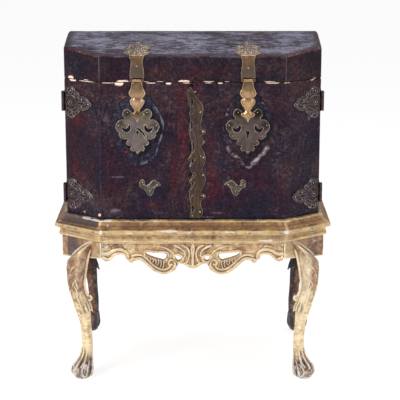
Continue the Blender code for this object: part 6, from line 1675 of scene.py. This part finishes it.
def leg_body(front):
    s = Soup()
    zs = np.concatenate([np.linspace(0.0, 0.06, 16), np.linspace(0.065, 0.478, 84)])
    rings = []
    for z in zs:
        rings.append(np.array([leg_skin(z, 360.0 * k / 56, 0.0) for k in range(56)]))
    s.add(*loft(rings, 56))
    if front:
        # roll along the top edge of the knee, falling outward, and veins of a leaf below it
        s.add(*sweep(ROLL, np.interp(np.linspace(0, 1, len(ROLL)), [0, 0.3, 0.7, 1], [0.0048, 0.0060, 0.0054, 0.0036]), sides=14))
        for z0, z1, p0, p1 in ((0.398, 0.362, -26, 20), (0.370, 0.345, -4, 30), (0.352, 0.312, -30, 6)):
            line = smooth([leg_skin(z0, p0, -0.0012), leg_skin((z0 + z1) / 2 + 0.006, (p0 + p1) / 2, -0.0004), leg_skin(z1, p1, -0.0014)], 6, False)
            s.add(*sweep(line, np.interp(np.linspace(0, 1, len(line)), [0, 0.5, 1], [0.0014, 0.0026, 0.0016]), sides=10))
    for sg in (-1, 1):
        # ribbon down the inner edge of the knee, ending in a small scroll
        path = [(0.456, 118, 1.0), (0.440, 116, 1.5), (0.418, 114, 1.5), (0.392, 112, 1.2), (0.360, 112, 1.0), (0.330, 112, 1.0), (0.306, 114, 1.8), (0.288, 118, 5.0)]
        line = smooth([leg_skin(z, sg * p, o / 1000) for z, p, o in path], 6, False)
        rad = np.interp(np.linspace(0, 1, len(line)), [0, 0.35, 0.8, 1], [0.0068, 0.0060, 0.0052, 0.0046])
        s.add(*sweep(line, rad, sides=14))
        c = leg_skin(0.2790, sg * 116, 0.0060)
        across = leg_skin(0.2790, sg * 116, 0.0160) - c
        across /= np.linalg.norm(across)
        turn = []
        for k in np.linspace(0, 1, 26):
            a = math.radians(70 - 470 * k)
            r = 0.0088 * (1 - 0.72 * k)
            turn.append(c + across * r * math.cos(a) + np.array([0, 0, 1.0]) * r * math.sin(a))
        s.add(*sweep(np.array(turn), np.linspace(0.0046, 0.0032, 26), sides=12))
        # leaf below the scroll, its tips curling off the leg
        for za, zb, zc, pa, pb, pc, o in ((0.274, 0.250, 0.229, 108, 113, 116, 8.5), (0.270, 0.251, 0.237, 124, 128, 130, 7.0), (0.268, 0.248, 0.233, 92, 93, 96, 6.0),
                                          (0.264, 0.246, 0.231, 76, 76, 80, 3.5)):
            line = smooth([leg_skin(za, sg * pa, 0.0), leg_skin(zb, sg * pb, 0.0025), leg_skin(zc, sg * pc, o / 1000)], 6, False)
            s.add(*sweep(line, np.interp(np.linspace(0, 1, len(line)), [0, 0.5, 1], [0.0024, 0.0050, 0.0024]), sides=10))
        # C-scroll and small leaves on the outer edge of the knee
        if sg > 0:
            path = [(0.386, 34, 0.0), (0.394, 44, 0.4), (0.386, 55, 0.6), (0.366, 59, 0.4), (0.344, 56, 0.4), (0.331, 47, 0.6), (0.335, 38, 0.2)]
            line = smooth([leg_skin(z, sg * p, o / 1000) for z, p, o in path], 6, False)
            s.add(*sweep(line, np.interp(np.linspace(0, 1, len(line)), [0, 0.5, 1], [0.0030, 0.0044, 0.0030]), sides=12))
        for z0, z1, p0, p1 in ((0.352, 0.312, 30, 52), (0.330, 0.294, 22, 40), (0.312, 0.280, 14, 28)):
            line = smooth([leg_skin(z0, sg * p0, -0.0010), leg_skin((z0 + z1) / 2, sg * ((p0 + p1) / 2 + 5), 0.0004), leg_skin(z1, sg * p1, -0.0012)], 6, False)
            s.add(*sweep(line, np.interp(np.linspace(0, 1, len(line)), [0, 0.4, 1], [0.0022, 0.0034, 0.0014]), sides=10))
        # rib down the shaft on both sides of the ridge
        line = smooth([leg_skin(z, sg * p, 0.0002) for z, p in ((0.292, 24), (0.262, 28), (0.232, 34), (0.200, 42))], 6, False)
        s.add(*sweep(line, np.linspace(0.0030, 0.0014, len(line)), sides=10))
    # scrolled foot: a roll across the leg with a spiral on each end
    c = np.array([0.0400, 0.0, 0.0270])
    s.add(*lathe([(0, -0.0225), (0.0170, -0.0225), (0.0228, -0.0195), (0.0245, -0.0090), (0.0236, 0.0), (0.0245, 0.0090), (0.0228, 0.0195), (0.0170, 0.0225), (0, 0.0225)],
                 c, (0, 1, 0), 40))
    for sg in (-1, 1):
        turn = []
        for k in np.linspace(0, 1, 60):
            a = math.radians(120 - 640 * k)
            r = 0.0218 * (1 - 0.80 * k)
            turn.append(c + np.array([r * math.cos(a), sg * (0.0215 + 0.0024 * k), r * math.sin(a)]))
        s.add(*sweep(np.array(turn), np.linspace(0.0040, 0.0028, 60), sides=12))
        line = smooth([leg_skin(0.096, sg * 40, 0.000), leg_skin(0.070, sg * 36, 0.002), np.array([0.0440, sg * 0.0170, 0.0520]), np.array([0.0575, sg * 0.0165, 0.0420])], 6, False)
        s.add(*sweep(line, np.linspace(0.0026, 0.0050, len(line)), sides=12))
        line = smooth([leg_skin(0.074, sg * 110, 0.000), leg_skin(0.050, sg * 112, 0.003), leg_skin(0.026, sg * 108, 0.004), leg_skin(0.010, sg * 100, 0.002)], 6, False)
        s.add(*sweep(line, np.linspace(0.0030, 0.0060, len(line)), sides=12))
        line = smooth([leg_skin(0.058, sg * 82, 0.001), leg_skin(0.038, sg * 76, 0.003), leg_skin(0.016, sg * 72, 0.003)], 6, False)
        s.add(*sweep(line, np.linspace(0.0026, 0.0048, len(line)), sides=12))
    s.add(*sweep(smooth([leg_skin(0.104, 0, 0.0), leg_skin(0.074, 0, 0.0015), np.array([0.0520, 0, 0.0520]), np.array([0.0630, 0, 0.0370])], 6, False),
                 np.linspace(0.0024, 0.0058, 19), sides=12))
    return s


def leg_post(front):
    """Square block above the leg with a bead round its foot, in metres, on the right."""
    if front:
        q = offset_plan(0.011)
        e = (q[2] - q[1]) / np.linalg.norm(q[2] - q[1])
        end = q[2] + 0.0095 * e
        poly = [(0.2958, -0.268), (0.2958, -0.291), tuple(q[1]), tuple(end), (end[0], -0.1703), (0.403, -0.1703), (0.330, -0.200)]
        levels = [(0.4050, -0.0030), (0.4075, 0.0), (0.4125, 0.0), (0.4150, -0.0028), (0.4180, -0.0028), (0.4195, 0.0), (0.4812, 0.0)]
    else:
        poly = [(0.2958, 0.268), (0.330, 0.200), (0.403, 0.1903), (0.426, 0.1903), (0.426, 0.291), (0.2958, 0.291)]
        levels = [(0.4300, 0.0), (0.4812, 0.0)]
    p = np.array(poly)
    mid = p.mean(0)
    away = (p - mid) / np.linalg.norm(p - mid, axis=1)[:, None]
    # the inner end of the block's foot rises to the apron
    rise = 0.017 * (1 - step(p[:, 0], 0.296, 0.345)) if front else np.zeros(len(p))
    top = levels[-1][0]
    return loft([np.column_stack([p + d * away, z + rise * (top - z) / (top - levels[0][0])]) for z, d in levels], len(p))


def carve_leg(front):
    sy = -1 if front else 1
    n = np.array([0.6116, 0.7911 * sy])
    t = np.array([0.7911, -0.6116 * sy])
    s = leg_body(front)
    L = np.concatenate(s.v)
    W = np.column_stack([LEG_X + (0.0 if front else REAR_OUT) + L[:, 0] * n[0] + L[:, 1] * t[0], LEG_Y * sy + L[:, 0] * n[1] + L[:, 1] * t[1], L[:, 2]])
    faces = s.f if n[0] * t[1] - n[1] * t[0] > 0 else [tuple(reversed(f)) for f in s.f]
    g = Soup().add(W, faces)
    pv, pf = leg_post(front)
    g.add(pv, pf)
    tmp = g.object("leg_rough", M_GILT_LEG)
    mod = tmp.modifiers.new("one_skin", "REMESH")
    mod.mode = "VOXEL"
    mod.voxel_size = 0.00165
    dg = bpy.context.evaluated_depsgraph_get()
    me = bpy.data.meshes.new_from_object(tmp.evaluated_get(dg))
    bpy.data.objects.remove(tmp)
    co = np.empty(len(me.vertices) * 3)
    me.vertices.foreach_get("co", co)
    co = co.reshape(-1, 3)
    e = np.empty(len(me.edges) * 2, int)
    me.edges.foreach_get("vertices", e)
    e = e.reshape(-1, 2)
    a, b = np.concatenate([e[:, 0], e[:, 1]]), np.concatenate([e[:, 1], e[:, 0]])
    deg = np.maximum(np.bincount(a, minlength=len(co)), 1)
    for k in (0.5, -0.52, 0.5, -0.52, 0.35):
        m = np.stack([np.bincount(a, weights=co[b, i], minlength=len(co)) for i in range(3)], 1) / deg[:, None]
        co = co + k * (m - co)
    co += np.column_stack([0.00045 * fbm(co, 0.018, 2, 81), 0.00045 * fbm(co, 0.018, 2, 82), np.zeros(len(co))])
    co[:, 2] = np.clip(co[:, 2], 0.0, Z_RAIL - 0.0002)
    polys = [tuple(p.vertices) for p in me.polygons]
    bpy.data.meshes.remove(me)
    return co, polys


for front, word in ((True, "front"), (False, "rear")):
    co, polys = carve_leg(front)
    sy = -1 if front else 1
    z = co[:, 2]
    lx, ly = co[:, 0] - LEG_X - (0.0 if front else REAR_OUT), co[:, 1] - LEG_Y * sy
    local = np.column_stack([lx * 0.6116 + ly * 0.7911 * sy, lx * 0.7911 - ly * 0.6116 * sy, z])
    n1 = fbm(co, 0.045, 3, 92)
    n2 = fbm(co, 0.016, 3, 93)
    foot = 1 - step(z + 0.012 * n1, 0.050, 0.102)
    gesso = 0.24 * foot + 0.22 * np.clip(n1, 0, 1) if front else 0.55 * (1 - step(z, 0.16, 0.30)) * np.clip(0.6 + n2, 0, 1)
    knee = step(z + 0.070 * n1 + 0.025 * n2, 0.215, 0.350)
    for sx, lr in ((-1, "left"), (1, "right")):
        soot = (0.60 if front else 0.55) * foot
        # painted shade: the rear leg turns near black on its side towards the middle
        if not front:
            soot = np.maximum(soot, 0.95 * (1 - step(lx - 0.6116 * leg_at(z)[0] + 0.004 * n1, -0.014, -0.002)))
        tone = np.clip(0.92 * knee + 0.55 * n2 * (0.4 + knee) - 0.15 * (1 - knee) + 0.5 * np.clip(n1 - 0.15, 0, 1), 0, 1)
        tone = np.clip(tone + 0.8 * foot + (0.45 * knee if sx < 0 else 0.12 * knee), 0, 1)
        bright = np.zeros(len(co))
        if front:
            # painted shade: the canted face of the block darkens outward, more on the left leg, lighter by the front
            # corner, and its edge stays gold
            q = offset_plan(0.011)
            e = (q[2] - q[1]) / np.linalg.norm(q[2] - q[1])
            off = np.abs((co[:, :2] - q[1]) @ np.array([e[1], -e[0]]))
            along = (co[:, :2] - q[1]) @ e / np.linalg.norm(q[2] - q[1])
            cant = np.exp(-(off / 0.0045) ** 4) * step(z, 0.404, 0.412)
            dark = cant * step(along, 0.15, 0.78) * (1 - step(along, 0.88, 0.95))
            soot = np.maximum(soot, (0.72 if sx < 0 else 0.50) * dark)
            tone = np.clip(tone + 0.5 * dark - 0.45 * cant * (1 - step(along, 0.15, 0.5)), 0, 1)
            # painted highlight along the knee's roll, and on the right leg a broad painted highlight down the inner
            # face of the knee
            far = np.sqrt(((local[:, None, :] - ROLL[None, ::2, :]) ** 2).sum(2).min(1))
            bright = np.exp(-(far / 0.0078) ** 4)
            inner = step(-local[:, 1], 0.004, 0.018) * step(z, 0.18, 0.26) * (1 - step(z, 0.405, 0.445))
            bright = np.maximum(bright, (0.10 if sx < 0 else 0.46) * inner)
            tone = tone * (1 - 0.85 * bright) * (1.0 if sx < 0 else 1 - 0.35 * inner)
            leaf = np.exp(-((z - 0.248) / 0.024) ** 4) * step(np.abs(local[:, 1]), 0.010, 0.017)
            tone = np.clip(tone + 0.75 * leaf * (0.7 + n2), 0, 1)
            soot = np.maximum(soot, 0.34 * leaf)
            bright = bright * (1 - 0.8 * leaf)
        V = co * np.array([sx, 1, 1])
        F2 = polys if sx > 0 else [tuple(reversed(f)) for f in polys]
        ob = add_object(word + "_" + lr + "_leg_carving", V, F2, M_GILT_LEG if front else M_GILT_REAR_SHADED, {"soot": soot, "gesso": gesso, "tone": tone, "bright": bright})
        curvature(ob, 5, 40)
        own(ob, "stand", "gilt_wood", word + "_" + lr + "_leg")

# ---------------------------------------------------------------- pieces shown as modelled
def finish_node(name, material, bevel=0.0):
    ob = NODES[name]
    ob.data.materials.clear()
    ob.data.materials.append(material)
    if bevel:
        mod = ob.modifiers.new("soft_edges", "BEVEL")
        mod.width = bevel
        mod.segments = 2
        mod.limit_method = "ANGLE"
        mod.angle_limit = math.radians(35)


for name in ("trunk_left_side", "trunk_right_side", "left_door_board", "right_door_board"):
    finish_node(name, M_WOOD_Z, 0.0006)
for name in ("trunk_back", "trunk_floor", "lid_top_board", "lid_rim"):
    finish_node(name, M_WOOD_X, 0.0006)
finish_node("back_rail", M_WOOD_BACK, 0.0015)
for word in ("left", "right"):
    for name in ("upper_hinge_pin", "lower_hinge_pin", "hasp_pin", "lock_case", "lock_bolt", "staple"):
        finish_node(word + "_" + name, M_IRON, 0.0003 if name in ("lock_case", "lock_bolt") else 0.0)

# ---------------------------------------------------------------- studio
def floor_material():
    s = Shade("studio_floor")
    s.set(Base_Color=s.mix(s.noise(1.5, 3.0), (0.34, 0.34, 0.34), (0.36, 0.36, 0.36)))
    s.b.inputs["Roughness"].default_value = 1.0
    s.b.inputs["Specular IOR Level"].default_value = 0.0
    s.b.inputs["Emission Color"].default_value = (1.0, 1.0, 1.0, 1.0)
    s.b.inputs["Emission Strength"].default_value = 0.80
    return s.m


floor = add_object("studio_floor", [(-30, -30, -0.0005), (30, -30, -0.0005), (30, 40, -0.0005), (-30, 40, -0.0005)], [(0, 1, 2, 3)], floor_material())

scene = bpy.context.scene
world = bpy.data.worlds.new("studio_world")
world.use_nodes = True
world.node_tree.nodes["Background"].inputs[0].default_value = (0.97, 0.985, 1.0, 1.0)
world.node_tree.nodes["Background"].inputs[1].default_value = 0.45
scene.world = world


def area(name, loc, target, size, power, color=(1.0, 1.0, 1.0)):
    li = bpy.data.lights.new(name, "AREA")
    li.shape = "RECTANGLE"
    li.size, li.size_y = size
    li.energy = power
    li.color = color
    ob = bpy.data.objects.new(name, li)
    scene.collection.objects.link(ob)
    ob.location = loc
    ob.rotation_euler = (Vector(target) - Vector(loc)).to_track_quat("-Z", "Y").to_euler()
    return ob


area("key", (-2.6, -3.0, 2.6), (0, 0, 0.7), (1.6, 1.6), 95.0, (1.0, 0.97, 0.93))
area("top", (0.4, 0.6, 3.6), (0, 0, 0.8), (2.6, 2.0), 60.0)
area("fill", (2.8, -2.6, 1.6), (0, 0, 0.6), (1.4, 1.8), 28.0, (0.95, 0.98, 1.0))

cam = bpy.data.objects.new("camera", bpy.data.cameras.new("camera"))
scene.collection.objects.link(cam)
cam.location = (0.0236, -4.68, 1.6747)
cam.rotation_euler = (math.radians(76.484), 0.0, 0.0)
cam.data.lens = 126.19
cam.data.sensor_width = 36.0
cam.data.clip_end = 200.0
scene.camera = cam
scene.view_settings.view_transform = "Standard"
